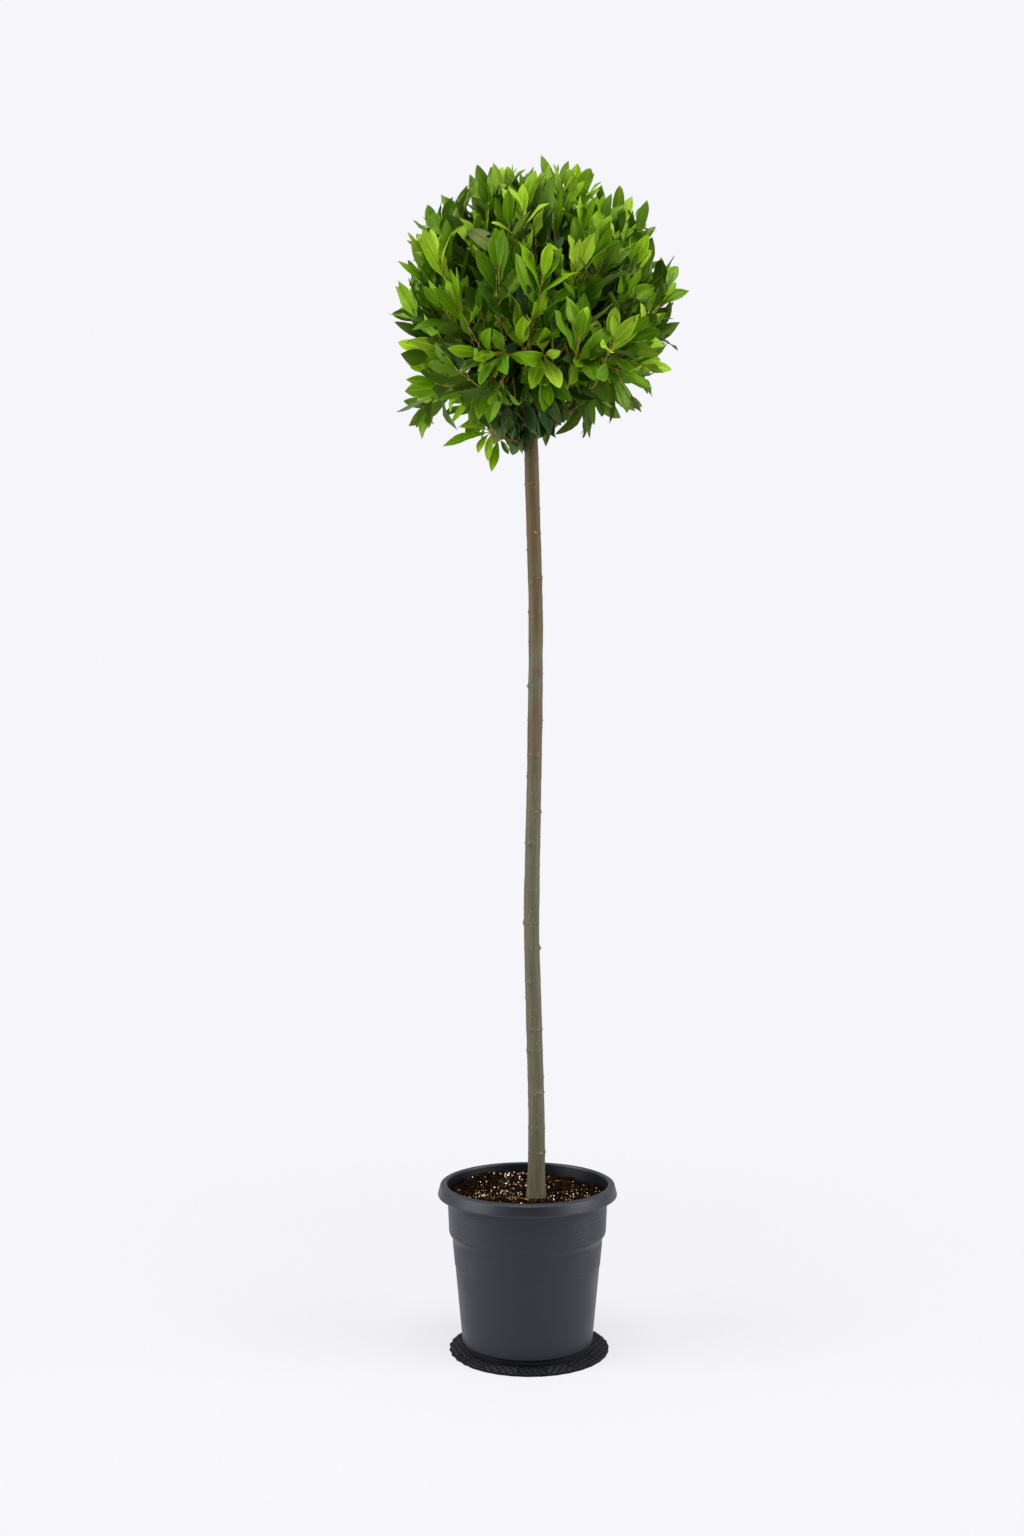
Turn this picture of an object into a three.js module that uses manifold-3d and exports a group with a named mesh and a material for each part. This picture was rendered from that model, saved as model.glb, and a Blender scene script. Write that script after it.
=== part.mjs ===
// A standard bay topiary: a clipped ball of foliage on one clear stem, growing in a
// moulded nursery pot that stands on a thin round mat.
// Millimetres, +Z up. The origin is on the pot's axis, in the mat's flat underside.

import * as THREE from 'three';
import { mergeVertices } from 'three/addons/utils/BufferGeometryUtils.js';
import Module from 'manifold-3d';

const wasm = await Module();
wasm.setup();

// ---------------------------------------------------------------- driving dimensions

const GAP = 0.3; // clearance between pieces that touch

// The mat under the pot.
const MAT_RADIUS = 78.5;
const MAT_THICKNESS = 3;
const MAT_EDGE = 0.6; // chamfer of its upper and lower edge
const MAT_OFFSET = 1.5; // its centre lies this far to +X of the pot's axis

// The pot: a tapering shell with a recessed foot, a collar and a turned-down lip.
const POT_SEGMENTS = 40;
const POT_BASE = MAT_THICKNESS + GAP;
const POT_WALL = 1.8;
const FOOT_RADIUS = 60.5;
const FOOT_HEIGHT = 6.5;
const FLOOR_RISE = 3.2; // the floor's underside is this far above the foot ring
const FLOOR_THICKNESS = 2;
const WALL_FOOT_RADIUS = 64;
const COLLAR_FOOT = 110; // height where the wall steps out to the collar
const COLLAR_TOP = 117;
const WALL_TOP_RADIUS = 73.5;
const COLLAR_RADIUS = 76.6;
const NECK_RADIUS = 78.2; // the collar's radius just under the lip
const LIP_FOOT = 152;
const RIM_HEIGHT = 164;
const LIP_RADIUS = 88;
const RIM_INNER_RADIUS = 80.4;
const DRAIN_HOLES = 8;
const DRAIN_RADIUS = 5;
const DRAIN_CIRCLE = 44;

// The compost in the pot.
const COMPOST_LEVEL = 150;
const COMPOST_LUMPS = 4.5; // height of its lumps above the level
const COMPOST_RINGS = 9;
const COLLAR_CLEARANCE = [19, 34]; // level within the first distance of the stem

// The stem: height, then sideways and forward drift of its centre from the pot's axis.
const STEM_COURSE = [
  [COMPOST_LEVEL + GAP, 8.4, 0],
  [215, 9.1, 0.6],
  [330, 6.2, 1.8],
  [415, 4.0, 2.0],
  [500, 5.2, 0.8],
  [600, 7.1, -0.8],
  [730, 7.9, -1.2],
  [830, 5.0, 0.2],
  [905, 3.4, 1.0],
  [932, 4.2, 0.6],
];
const STEM_FOOT_RADIUS = 8.1; // without the flare
const STEM_NECK_RADIUS = 6.7; // just under the crown
const STEM_NECK_HEIGHT = 800;
const STEM_TIP_RADIUS = 4.2;
const FLARE_SWELL = 1.8; // how far the root flare swells the foot
const FLARE_HEIGHT = 16; // the swelling fades over about this height
const FLARE_LOBES = 4;
const FORK_HEIGHT = 884; // the stem begins to narrow here, at its lowest bough

// The boughs, which leave the stem in a spiral.
const SIDE_BOUGHS = 7;
const GOLDEN_ANGLE = THREE.MathUtils.degToRad(137.5);
const BOUGH_FIRST_HEIGHT = 889;
const BOUGH_SPACING = 5;
const BOUGH_FIRST_TURN = THREE.MathUtils.degToRad(20);
const BOUGH_SPREAD = [62, 30]; // degrees from upright, lowest and highest bough
const BOUGH_FOOT_RADIUS = 3.5;
const BOUGH_TIP_RADIUS = 2.3;
const BOUGH_REACH = 92;

// The crown: a clipped ball, a little square in profile, with tufts all over. It is two
// masses, the upper one and a skirt round the boughs, which part at one level.
const CROWN_WIDTH = 289;
const CROWN_DEPTH = 284;
const CROWN_LOW = 889;
const CROWN_TOP = 1151;
const CROWN_CENTRE_X = 7.8;
const CROWN_CENTRE_Y = 1;
const CROWN_SQUARENESS = [2.15, 3.2]; // upper and lower half: 2 is round, more is squarer
const CROWN_PARTING = 958;
const CROWN_DETAIL = 10;
const TUFTS = 150;
const TUFT_SPREAD = 0.15; // angular half width of a tuft, radians
const TUFT_DEPTH = 0.11; // depth of the dips between tufts, as a share of the radius

// The open pocket inside the skirt, where the boughs spread: a cone, narrower at its top.
const POCKET_FOOT_RADIUS = 58;
const POCKET_TOP_RADIUS = 40;
const POCKET_FOOT = 880;
const POCKET_SIDES = 24;

// The spray of leaves that hangs clear below the ball, at its front left.
const SPRAY_CENTRE = [-37, -47, 871.5];
const SPRAY_HALF = [38, 23, 17.5];
const SPRAY_TUFTS = 16;
const SPRAY_TURN = THREE.MathUtils.degToRad(24);
const SPRAY_BOUGH_HEIGHT = 886;
const SPRAY_BOUGH_RADIUS = [2.6, 1.7];

// ---------------------------------------------------------------- materials

function finish(color, roughness) {
  return new THREE.MeshStandardMaterial({ color, roughness, metalness: 0 });
}

const MAT_RUBBER = finish(0x1c1c1f, 0.9);
const POT_PLASTIC = finish(0x3c3e45, 0.5);
const COMPOST = finish(0x2a1c10, 1);
const STEM_BARK = finish(0x6d6753, 0.8);
const BOUGH_BARK = finish(0x6f5a34, 0.8);
const FOLIAGE = finish(0x4b680e, 0.55);

// ---------------------------------------------------------------- tools

// A number from 0 to 1 that is always the same for the same seed.
function chance(seed) {
  const wave = Math.sin(seed * 12.9898 + 4.1414) * 43758.5453;
  return wave - Math.floor(wave);
}

// A smooth rise from 0 at the first distance to 1 at the second.
function rise(distance, [low, high]) {
  return THREE.MathUtils.smoothstep(distance, low, high);
}

// Moves every vertex of a geometry by a function of its place.
function reshaped(geometry, move) {
  const places = geometry.getAttribute('position');
  const point = new THREE.Vector3();
  for (let i = 0; i < places.count; i += 1) {
    move(point.fromBufferAttribute(places, i));
    places.setXYZ(i, point.x, point.y, point.z);
  }
  return geometry;
}

// Six times the signed volume; negative where the faces point inwards.
function signedVolume(geometry) {
  const places = geometry.getAttribute('position');
  const index = geometry.getIndex();
  const corners = [new THREE.Vector3(), new THREE.Vector3(), new THREE.Vector3()];
  let total = 0;
  for (let i = 0; i < index.count; i += 3) {
    corners.forEach((corner, k) => corner.fromBufferAttribute(places, index.getX(i + k)));
    total += corners[0].dot(corners[1].cross(corners[2]));
  }
  return total;
}

// One closed surface with shared vertices and its faces pointing outwards.
function closed(geometry) {
  const bare = geometry.clone();
  bare.deleteAttribute('normal');
  bare.deleteAttribute('uv');
  const merged = mergeVertices(bare, 1e-3);
  const index = Array.from(merged.getIndex().array);
  const kept = [];
  for (let i = 0; i < index.length; i += 3) {
    const [a, b, c] = index.slice(i, i + 3);
    if (a !== b && b !== c && c !== a) kept.push(a, b, c);
  }
  merged.setIndex(kept);
  if (signedVolume(merged) < 0) merged.setIndex(kept.reverse());
  return merged;
}

function toSolid(geometry) {
  const surface = closed(geometry);
  return new wasm.Manifold(
    new wasm.Mesh({
      numProp: 3,
      vertProperties: new Float32Array(surface.getAttribute('position').array),
      triVerts: new Uint32Array(surface.getIndex().array),
    }),
  );
}

function toGeometry(solid) {
  const mesh = solid.getMesh();
  const geometry = new THREE.BufferGeometry();
  geometry.setAttribute('position', new THREE.BufferAttribute(mesh.vertProperties, 3));
  geometry.setIndex(new THREE.BufferAttribute(mesh.triVerts, 1));
  return geometry;
}

// The surface made by turning [radius, height] pairs about the upright axis.
function turned(profile, segments) {
  const points = profile.map(([radius, height]) => new THREE.Vector2(radius, height));
  return new THREE.LatheGeometry(points, segments).rotateX(Math.PI / 2);
}

// A limb: a cylinder bent along a course, with its own radius at each share of the way
// and angle round it. A level limb has its sections, and so its end cuts, horizontal.
function limb(course, radiusAt, { sides, steps, level = false, crowding = 1 }) {
  const span = course.getPoint(1).sub(course.getPoint(0));
  const lean = Math.abs(span.x) < Math.abs(span.y) ? [1, 0, 0] : [0, 1, 0];
  const across = new THREE.Vector3();
  const beside = new THREE.Vector3();
  return reshaped(new THREE.CylinderGeometry(1, 1, 1, sides, steps), (point) => {
    const share = (point.y + 0.5) ** crowding;
    const angle = Math.atan2(point.z, point.x);
    const radius = Math.hypot(point.x, point.z) * radiusAt(share, angle);
    const ahead = level ? new THREE.Vector3(0, 0, 1) : course.getTangent(share);
    across.fromArray(level ? [1, 0, 0] : lean).addScaledVector(ahead, -ahead.dot(across));
    across.normalize();
    beside.crossVectors(ahead, across);
    point.copy(course.getPoint(share));
    point.addScaledVector(across, radius * Math.cos(angle));
    point.addScaledVector(beside, radius * Math.sin(angle));
  });
}

// Directions spread evenly round a ball, each nudged a little.
function spreadDirections(count) {
  return Array.from({ length: count }, (unused, k) => {
    const height = 1 - (2 * k + 1) / count;
    const turn = k * GOLDEN_ANGLE;
    const flat = Math.sqrt(1 - height * height);
    const nudge = new THREE.Vector3(chance(k), chance(k + 500), chance(k + 900)).subScalar(0.5);
    return new THREE.Vector3(flat * Math.cos(turn), flat * Math.sin(turn), height)
      .addScaledVector(nudge, 1.6 / Math.sqrt(count))
      .normalize();
  });
}

// A mass of foliage: a ball squared in profile, with a tuft in each of the directions and
// dips between them, drawn out so that it just fills its box.
function mass({ low, high, detail, tufts, spread, depth, squareness }) {
  const directions = spreadDirections(tufts);
  const ball = reshaped(new THREE.IcosahedronGeometry(1, detail), (point) => {
    const direction = point.clone().normalize();
    const flat = Math.hypot(direction.x, direction.y);
    const power = squareness[direction.z > 0 ? 0 : 1];
    const square = (flat ** power + Math.abs(direction.z) ** power) ** (-1 / power);
    const tuft = directions.reduce((best, other, k) => {
      const apart = direction.angleTo(other) / spread;
      return Math.max(best, (0.55 + 0.45 * chance(k + 77)) * Math.exp(-apart * apart));
    }, 0);
    point.copy(direction).multiplyScalar(square * (1 - depth * (1 - tuft)));
  });
  ball.computeBoundingBox();
  const size = ball.boundingBox.getSize(new THREE.Vector3());
  const from = ball.boundingBox.min;
  return reshaped(ball, (point) => {
    point.sub(from).divide(size).multiply(high.clone().sub(low)).add(low);
  });
}

// ---------------------------------------------------------------- pieces

function matShape() {
  const inner = MAT_RADIUS - MAT_EDGE;
  const profile = [
    [0, 0],
    [inner, 0],
    [MAT_RADIUS, MAT_EDGE],
    [MAT_RADIUS, MAT_THICKNESS - MAT_EDGE],
    [inner, MAT_THICKNESS],
    [0, MAT_THICKNESS],
  ];
  return turned(profile, POT_SEGMENTS).translate(MAT_OFFSET, 0, 0);
}

// The inside of the pot from its floor to its rim, as [radius, height] pairs.
function potInside() {
  return [
    [WALL_FOOT_RADIUS - POT_WALL - 1, POT_BASE + FLOOR_RISE + FLOOR_THICKNESS],
    [WALL_FOOT_RADIUS - POT_WALL, POT_BASE + FLOOR_RISE + FLOOR_THICKNESS + 3],
    [WALL_TOP_RADIUS - POT_WALL, COLLAR_FOOT + 1],
    [COLLAR_RADIUS - POT_WALL, COLLAR_TOP + 1],
    [NECK_RADIUS - POT_WALL, LIP_FOOT - 1],
  ];
}

function potShape() {
  const outside = [
    [0, POT_BASE + FLOOR_RISE],
    [FOOT_RADIUS - 4.5, POT_BASE + FLOOR_RISE],
    [FOOT_RADIUS - 3.5, POT_BASE],
    [FOOT_RADIUS, POT_BASE],
    [FOOT_RADIUS + 0.5, POT_BASE + FOOT_HEIGHT - 1],
    [WALL_FOOT_RADIUS, POT_BASE + FOOT_HEIGHT + 1],
    [WALL_TOP_RADIUS, COLLAR_FOOT],
    [COLLAR_RADIUS, COLLAR_TOP],
    [NECK_RADIUS, LIP_FOOT - 1],
    [NECK_RADIUS + 1, RIM_HEIGHT - 6],
    [NECK_RADIUS + 3, RIM_HEIGHT - 2.6],
    [LIP_RADIUS - 3, RIM_HEIGHT - 3.4],
    [LIP_RADIUS - 2.2, LIP_FOOT + 0.5],
    [LIP_RADIUS - 0.8, LIP_FOOT],
    [LIP_RADIUS, LIP_FOOT + 2],
    [LIP_RADIUS - 0.4, RIM_HEIGHT - 3],
    [LIP_RADIUS - 1.8, RIM_HEIGHT - 0.8],
    [LIP_RADIUS - 4, RIM_HEIGHT],
    [RIM_INNER_RADIUS, RIM_HEIGHT - 0.6],
    [NECK_RADIUS + 0.2, RIM_HEIGHT - 4],
  ];
  const inside = potInside().reverse();
  const profile = [...outside, ...inside, [0, inside.at(-1)[1]]];
  const shell = toSolid(turned(profile, POT_SEGMENTS));
  return toGeometry(
    Array.from({ length: DRAIN_HOLES }, (unused, k) => {
      const turn = (2 * Math.PI * (k + 0.5)) / DRAIN_HOLES;
      const drill = new THREE.CylinderGeometry(DRAIN_RADIUS, DRAIN_RADIUS, 20, 10);
      const [x, y] = [DRAIN_CIRCLE * Math.cos(turn), DRAIN_CIRCLE * Math.sin(turn)];
      return toSolid(drill.rotateX(Math.PI / 2).translate(x, y, POT_BASE + FLOOR_RISE));
    }).reduce((solid, drill) => solid.subtract(drill), shell),
  );
}

// How far the compost stands above its level: rolling lumps, none near the stem or wall.
function compostLump(x, y) {
  const [, stemX, stemY] = STEM_COURSE[0];
  const fromStem = rise(Math.hypot(x - stemX, y - stemY), COLLAR_CLEARANCE);
  const rolling =
    Math.sin(x / 9.5 + 1.2) * Math.sin(y / 11 + 0.6) + 0.6 * Math.sin(x / 5.7 - y / 7.3);
  const back = rise(y, [-10, 60]) * 0.45;
  return COMPOST_LUMPS * fromStem * (0.32 * rolling + back + 0.1);
}

function compostShape() {
  const sides = potInside().map(([radius, height]) => [radius - GAP, height + GAP]);
  sides.at(-1)[1] = COMPOST_LEVEL;
  const edge = sides.at(-1)[0];
  const top = Array.from({ length: COMPOST_RINGS }, (unused, k) => [
    edge * (1 - (k + 1) / COMPOST_RINGS),
    COMPOST_LEVEL,
  ]);
  const base = [0, sides[0][1]];
  return reshaped(turned([base, ...sides, ...top], POT_SEGMENTS), (point) => {
    const onTop = point.z > COMPOST_LEVEL - 0.01 && Math.hypot(point.x, point.y) < edge - 0.01;
    if (onTop) point.z += compostLump(point.x, point.y);
  });
}

function stemCourse() {
  const places = STEM_COURSE.map(([height, x, y]) => new THREE.Vector3(x, y, height));
  return new THREE.CatmullRomCurve3(places);
}

// The stem's radius at a height: an even taper, the root flare, and the narrowing from its
// lowest bough to its tip.
function stemRadius(height, angle) {
  const above = height - STEM_COURSE[0][0];
  const taper = THREE.MathUtils.mapLinear(
    Math.min(height, STEM_NECK_HEIGHT),
    COMPOST_LEVEL,
    STEM_NECK_HEIGHT,
    STEM_FOOT_RADIUS,
    STEM_NECK_RADIUS,
  );
  const lobe = 1 + 0.2 * Math.cos(FLARE_LOBES * angle);
  const flare = FLARE_SWELL * Math.exp(-above / FLARE_HEIGHT) * lobe;
  const narrowing = (taper - STEM_TIP_RADIUS) * rise(height, [FORK_HEIGHT, STEM_COURSE.at(-1)[0]]);
  return taper + flare - narrowing;
}

function stemShape(grow = 0) {
  const course = stemCourse();
  const radiusAt = (share, angle) => stemRadius(course.getPoint(share).z, angle) + grow;
  const shape = limb(course, radiusAt, { sides: 12, steps: 44, level: true, crowding: 1.15 });
  const tip = STEM_COURSE.at(-1)[0];
  return reshaped(shape, (point) => {
    if (point.z > tip - 0.01) point.z += grow;
  });
}

// The place on the stem's centreline at a height.
function onStem(height) {
  const course = stemCourse();
  let [low, high] = [0, 1];
  for (let k = 0; k < 30; k += 1) {
    const middle = (low + high) / 2;
    if (course.getPoint(middle).z < height) low = middle;
    else high = middle;
  }
  return course.getPoint(low);
}

// The pocket inside the skirt, with its surface moved out by the given amount.
function pocketSolid(grow) {
  const height = CROWN_PARTING - POCKET_FOOT + grow;
  const [foot, top] = [POCKET_FOOT_RADIUS + grow, POCKET_TOP_RADIUS + grow];
  const pocket = new THREE.CylinderGeometry(top, foot, height, POCKET_SIDES).rotateX(Math.PI / 2);
  const stem = onStem(POCKET_FOOT);
  return toSolid(pocket.translate(stem.x, stem.y, POCKET_FOOT + height / 2));
}

// A bough from the stem's centreline, bending upwards, cut back to the stem's surface and
// to where it enters the crown.
function boughShape(height, turn, spread, reach) {
  const foot = onStem(height);
  const lean = THREE.MathUtils.degToRad(spread);
  const out = new THREE.Vector3(Math.cos(turn), Math.sin(turn), 0);
  const up = new THREE.Vector3(0, 0, 1);
  const along = (distance, angle) =>
    foot
      .clone()
      .addScaledVector(out, distance * Math.sin(angle))
      .addScaledVector(up, distance * Math.cos(angle));
  const [bend, end] = [along(reach * 0.45, lean), along(reach, lean * 0.78)];
  const course = new THREE.QuadraticBezierCurve3(foot, bend, end);
  const radiusAt = (share) => THREE.MathUtils.lerp(BOUGH_FOOT_RADIUS, BOUGH_TIP_RADIUS, share);
  const whole = toSolid(limb(course, radiusAt, { sides: 8, steps: 7 }));
  return toGeometry(whole.intersect(pocketSolid(-GAP)).subtract(toSolid(stemShape(GAP))));
}

// The leader: the stem's own line carried on from its tip into the crown.
function leaderShape() {
  const foot = onStem(STEM_COURSE.at(-1)[0]).add(new THREE.Vector3(0, 0, GAP));
  const course = new THREE.QuadraticBezierCurve3(
    foot,
    foot.clone().add(new THREE.Vector3(0.5, 0.5, 14)),
    foot.clone().add(new THREE.Vector3(2, -1.5, 30)),
  );
  const radiusAt = (share) => THREE.MathUtils.lerp(STEM_TIP_RADIUS, BOUGH_TIP_RADIUS, share);
  const whole = toSolid(limb(course, radiusAt, { sides: 10, steps: 5, level: true }));
  return toGeometry(whole.intersect(pocketSolid(-GAP)));
}

// The clipped ball as one uneven solid.
function crownBall() {
  const half = new THREE.Vector3(CROWN_WIDTH, CROWN_DEPTH, CROWN_TOP - CROWN_LOW).divideScalar(2);
  const centre = new THREE.Vector3(CROWN_CENTRE_X, CROWN_CENTRE_Y, (CROWN_TOP + CROWN_LOW) / 2);
  const ball = mass({
    low: centre.clone().sub(half),
    high: centre.clone().add(half),
    detail: CROWN_DETAIL,
    tufts: TUFTS,
    spread: TUFT_SPREAD,
    depth: TUFT_DEPTH,
    squareness: CROWN_SQUARENESS,
  });
  return toSolid(ball);
}

// A block that takes in everything above a level, or with a negative height below it.
function everythingFrom(level, height) {
  const block = new THREE.BoxGeometry(2 * CROWN_WIDTH, 2 * CROWN_DEPTH, Math.abs(height));
  return toSolid(block.translate(0, 0, level + height / 2));
}

function crownShape() {
  return toGeometry(crownBall().intersect(everythingFrom(CROWN_PARTING + GAP, CROWN_WIDTH)));
}

function skirtShape() {
  const skirt = crownBall().intersect(everythingFrom(CROWN_PARTING, -CROWN_WIDTH));
  return toGeometry(skirt.subtract(pocketSolid(GAP)));
}

// The hanging spray, with its surface moved out by the given amount.
function sprayShape(grow = 0) {
  const half = new THREE.Vector3(...SPRAY_HALF).addScalar(grow);
  const spray = mass({
    low: half.clone().negate(),
    high: half,
    detail: 4,
    tufts: SPRAY_TUFTS,
    spread: 0.4,
    depth: 0.2,
    squareness: [2, 2],
  });
  return spray.rotateZ(SPRAY_TURN).translate(...SPRAY_CENTRE);
}

// The thin bough that carries the hanging spray.
function sprayBoughShape() {
  const foot = onStem(SPRAY_BOUGH_HEIGHT);
  const end = new THREE.Vector3(...SPRAY_CENTRE);
  const bend = foot.clone().lerp(end, 0.5).setZ(SPRAY_BOUGH_HEIGHT + 5);
  const course = new THREE.QuadraticBezierCurve3(foot, bend, end);
  const radiusAt = (share) => THREE.MathUtils.lerp(...SPRAY_BOUGH_RADIUS, share);
  const whole = toSolid(limb(course, radiusAt, { sides: 8, steps: 8 }));
  return toGeometry(whole.subtract(toSolid(stemShape(GAP))).subtract(toSolid(sprayShape(GAP))));
}

// ---------------------------------------------------------------- the plant in its pot

const topiary = new THREE.Group();

function add(name, shape, material) {
  const mesh = new THREE.Mesh(closed(shape), material);
  mesh.name = name;
  topiary.add(mesh);
}

add('mat', matShape(), MAT_RUBBER);
add('pot', potShape(), POT_PLASTIC);
add('compost', compostShape(), COMPOST);
add('stem', stemShape(), STEM_BARK);
add('leader', leaderShape(), BOUGH_BARK);
for (let k = 0; k < SIDE_BOUGHS; k += 1) {
  const height = BOUGH_FIRST_HEIGHT + k * BOUGH_SPACING;
  const turn = BOUGH_FIRST_TURN + k * GOLDEN_ANGLE;
  const spread = THREE.MathUtils.lerp(...BOUGH_SPREAD, k / (SIDE_BOUGHS - 1));
  add(`bough_${k + 1}`, boughShape(height, turn, spread, BOUGH_REACH), BOUGH_BARK);
}
add('crown', crownShape(), FOLIAGE);
add('skirt', skirtShape(), FOLIAGE);
add('spray_bough', sprayBoughShape(), BOUGH_BARK);
add('hanging_spray', sprayShape(), FOLIAGE);

export default topiary;
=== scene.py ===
"""A standard bay topiary in its nursery pot: the finish of every surface.

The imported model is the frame. Each piece below stands for one or more of its nodes: the mat,
the pot, the compost with its grains, the stem and boughs in bark, and the twigs and leaves
that grow on from the boughs by a seeded rule and fill the clipped ball."""

import math

import bpy
import numpy as np
from bpy.props import FloatProperty, FloatVectorProperty, IntProperty, PointerProperty
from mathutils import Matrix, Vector


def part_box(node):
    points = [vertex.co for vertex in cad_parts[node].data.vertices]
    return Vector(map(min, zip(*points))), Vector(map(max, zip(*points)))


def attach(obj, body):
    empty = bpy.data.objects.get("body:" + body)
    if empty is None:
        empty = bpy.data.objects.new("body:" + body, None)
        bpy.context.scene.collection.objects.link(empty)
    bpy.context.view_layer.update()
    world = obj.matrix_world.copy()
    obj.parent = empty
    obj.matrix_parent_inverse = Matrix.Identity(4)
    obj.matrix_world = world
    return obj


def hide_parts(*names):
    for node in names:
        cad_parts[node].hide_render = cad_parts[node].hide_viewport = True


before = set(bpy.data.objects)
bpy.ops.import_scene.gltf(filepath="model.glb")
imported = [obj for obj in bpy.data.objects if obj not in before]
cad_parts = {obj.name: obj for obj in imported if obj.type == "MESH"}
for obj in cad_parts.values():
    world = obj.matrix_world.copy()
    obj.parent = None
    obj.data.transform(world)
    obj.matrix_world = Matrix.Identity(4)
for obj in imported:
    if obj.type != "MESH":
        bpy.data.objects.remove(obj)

bl_info = {
    "name": "Standard Bay Topiary",
    "version": (1, 0, 0),
    "blender": (4, 5, 0),
    "location": "3D View > Sidebar > Topiary",
    "description": "Builds a clipped bay standard in a ribbed nursery pot",
    "category": "Add Mesh",
}

MM = 0.001
UP = np.array([0.0, 0.0, 1.0])
GOLDEN_ANGLE = math.radians(137.508)
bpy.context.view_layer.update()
BOUGHS = [f"bough_{k}" for k in range(1, 8)]
# The frame leaves this gap where the plant's pieces meet, and its points this near in height
# belong to one level ring.
FRAME_GAP = 0.3 * MM
SAME_LEVEL = 2e-5


# ------------------------------------------------------------------ the frame's sizes


def node_points(node):
    """The corners of a frame node's mesh as an array of places, in metres."""
    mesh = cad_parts[node].data
    places = np.empty(len(mesh.vertices) * 3)
    mesh.vertices.foreach_get("co", places)
    return places.reshape(-1, 3)


def whole_box(*nodes):
    """The lowest and highest corner of several frame nodes together."""
    corners = np.array([[tuple(end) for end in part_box(node)] for node in nodes])
    return corners[:, 0].min(axis=0), corners[:, 1].max(axis=0)


def stem_rings():
    """Heights, centres and radii of the frame's stem, one row for each level ring of it."""
    points = node_points("stem")
    levels = np.unique(points[:, 2].round(5))
    rings = [points[np.abs(points[:, 2] - level) < SAME_LEVEL] for level in levels]
    kept = [ring for ring in rings if len(ring) > 3]
    middles = np.array([(ring.min(axis=0) + ring.max(axis=0)) / 2 for ring in kept])
    radii = [np.hypot(*(ring - middle)[:, :2].T).max() for ring, middle in zip(kept, middles)]
    return middles[:, 2], middles, np.array(radii)


STEM_LEVELS, STEM_CENTRES, STEM_RADII = stem_rings()
COMPOST_LEVEL = STEM_LEVELS[0] - FRAME_GAP


# ------------------------------------------------------------------ colours


def linear(colour):
    """An sRGB hex value such as "3c5a14" as linear red, green and blue."""
    values = np.array([int(colour[k : k + 2], 16) for k in (0, 2, 4)]) / 255
    return tuple(np.where(values > 0.04045, ((values + 0.055) / 1.055) ** 2.4, values / 12.92))


def colour_property(name, description, colour):
    """A colour that the user can change, given as an sRGB hex value."""
    default = linear(colour)
    return FloatVectorProperty(
        name=name, description=description, subtype="COLOR", size=3, min=0, max=1, default=default
    )


def length_property(name, description, millimetres):
    """A length that the user can change, given in millimetres and kept in metres."""
    return FloatProperty(
        name=name,
        description=description,
        unit="LENGTH",
        subtype="DISTANCE",
        default=millimetres * MM,
    )


# ------------------------------------------------------------------ arrays


def unit(vectors):
    """Vectors made one long."""
    return vectors / np.maximum(np.linalg.norm(vectors, axis=-1, keepdims=True), 1e-12)


def smooth_rise(values, low, high):
    """0 below low, 1 above high, and the smooth step 3t^2 - 2t^3 between."""
    share = np.clip((values - low) / (high - low), 0, 1)
    return share * share * (3 - 2 * share)


def noise(places, size, seed):
    """Smooth noise from -1 to 1 with features of a size: random values at the corners of a
    lattice of cells, mixed across each cell by the smooth step."""
    spots = np.asarray(places) / size + seed * 17.13
    cells = np.floor(spots)
    inside = spots - cells
    inside = inside * inside * (3 - 2 * inside)
    total = np.zeros(spots.shape[:-1])
    for corner in np.ndindex(2, 2, 2):
        weight = np.prod(np.where(corner, inside, 1 - inside), axis=-1)
        wave = np.sin((cells + corner) @ np.array([12.9898, 78.233, 37.719]) + seed) * 43758.5453
        total += weight * (wave - np.floor(wave))
    return 2 * total - 1


def spiral_directions(count, rng, nudge):
    """Directions spread evenly round a ball: heights in equal steps, each turned on by the
    golden angle, then nudged at random."""
    heights = 1 - (2 * np.arange(count) + 1) / count
    turns = np.arange(count) * GOLDEN_ANGLE
    flat = np.sqrt(1 - heights**2)
    even = np.stack([flat * np.cos(turns), flat * np.sin(turns), heights], axis=1)
    return unit(even + rng.normal(0, nudge / math.sqrt(count), (count, 3)))


def square_to(axis, helper):
    """The part of helper that is square to axis, one long."""
    return unit(helper - (helper * axis).sum(axis=-1, keepdims=True) * axis)


# ------------------------------------------------------------------ meshes


def add_object(name, data):
    """Puts a mesh, light or camera into the scene."""
    made = bpy.data.objects.new(name, data)
    bpy.context.scene.collection.objects.link(made)
    return made


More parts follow.
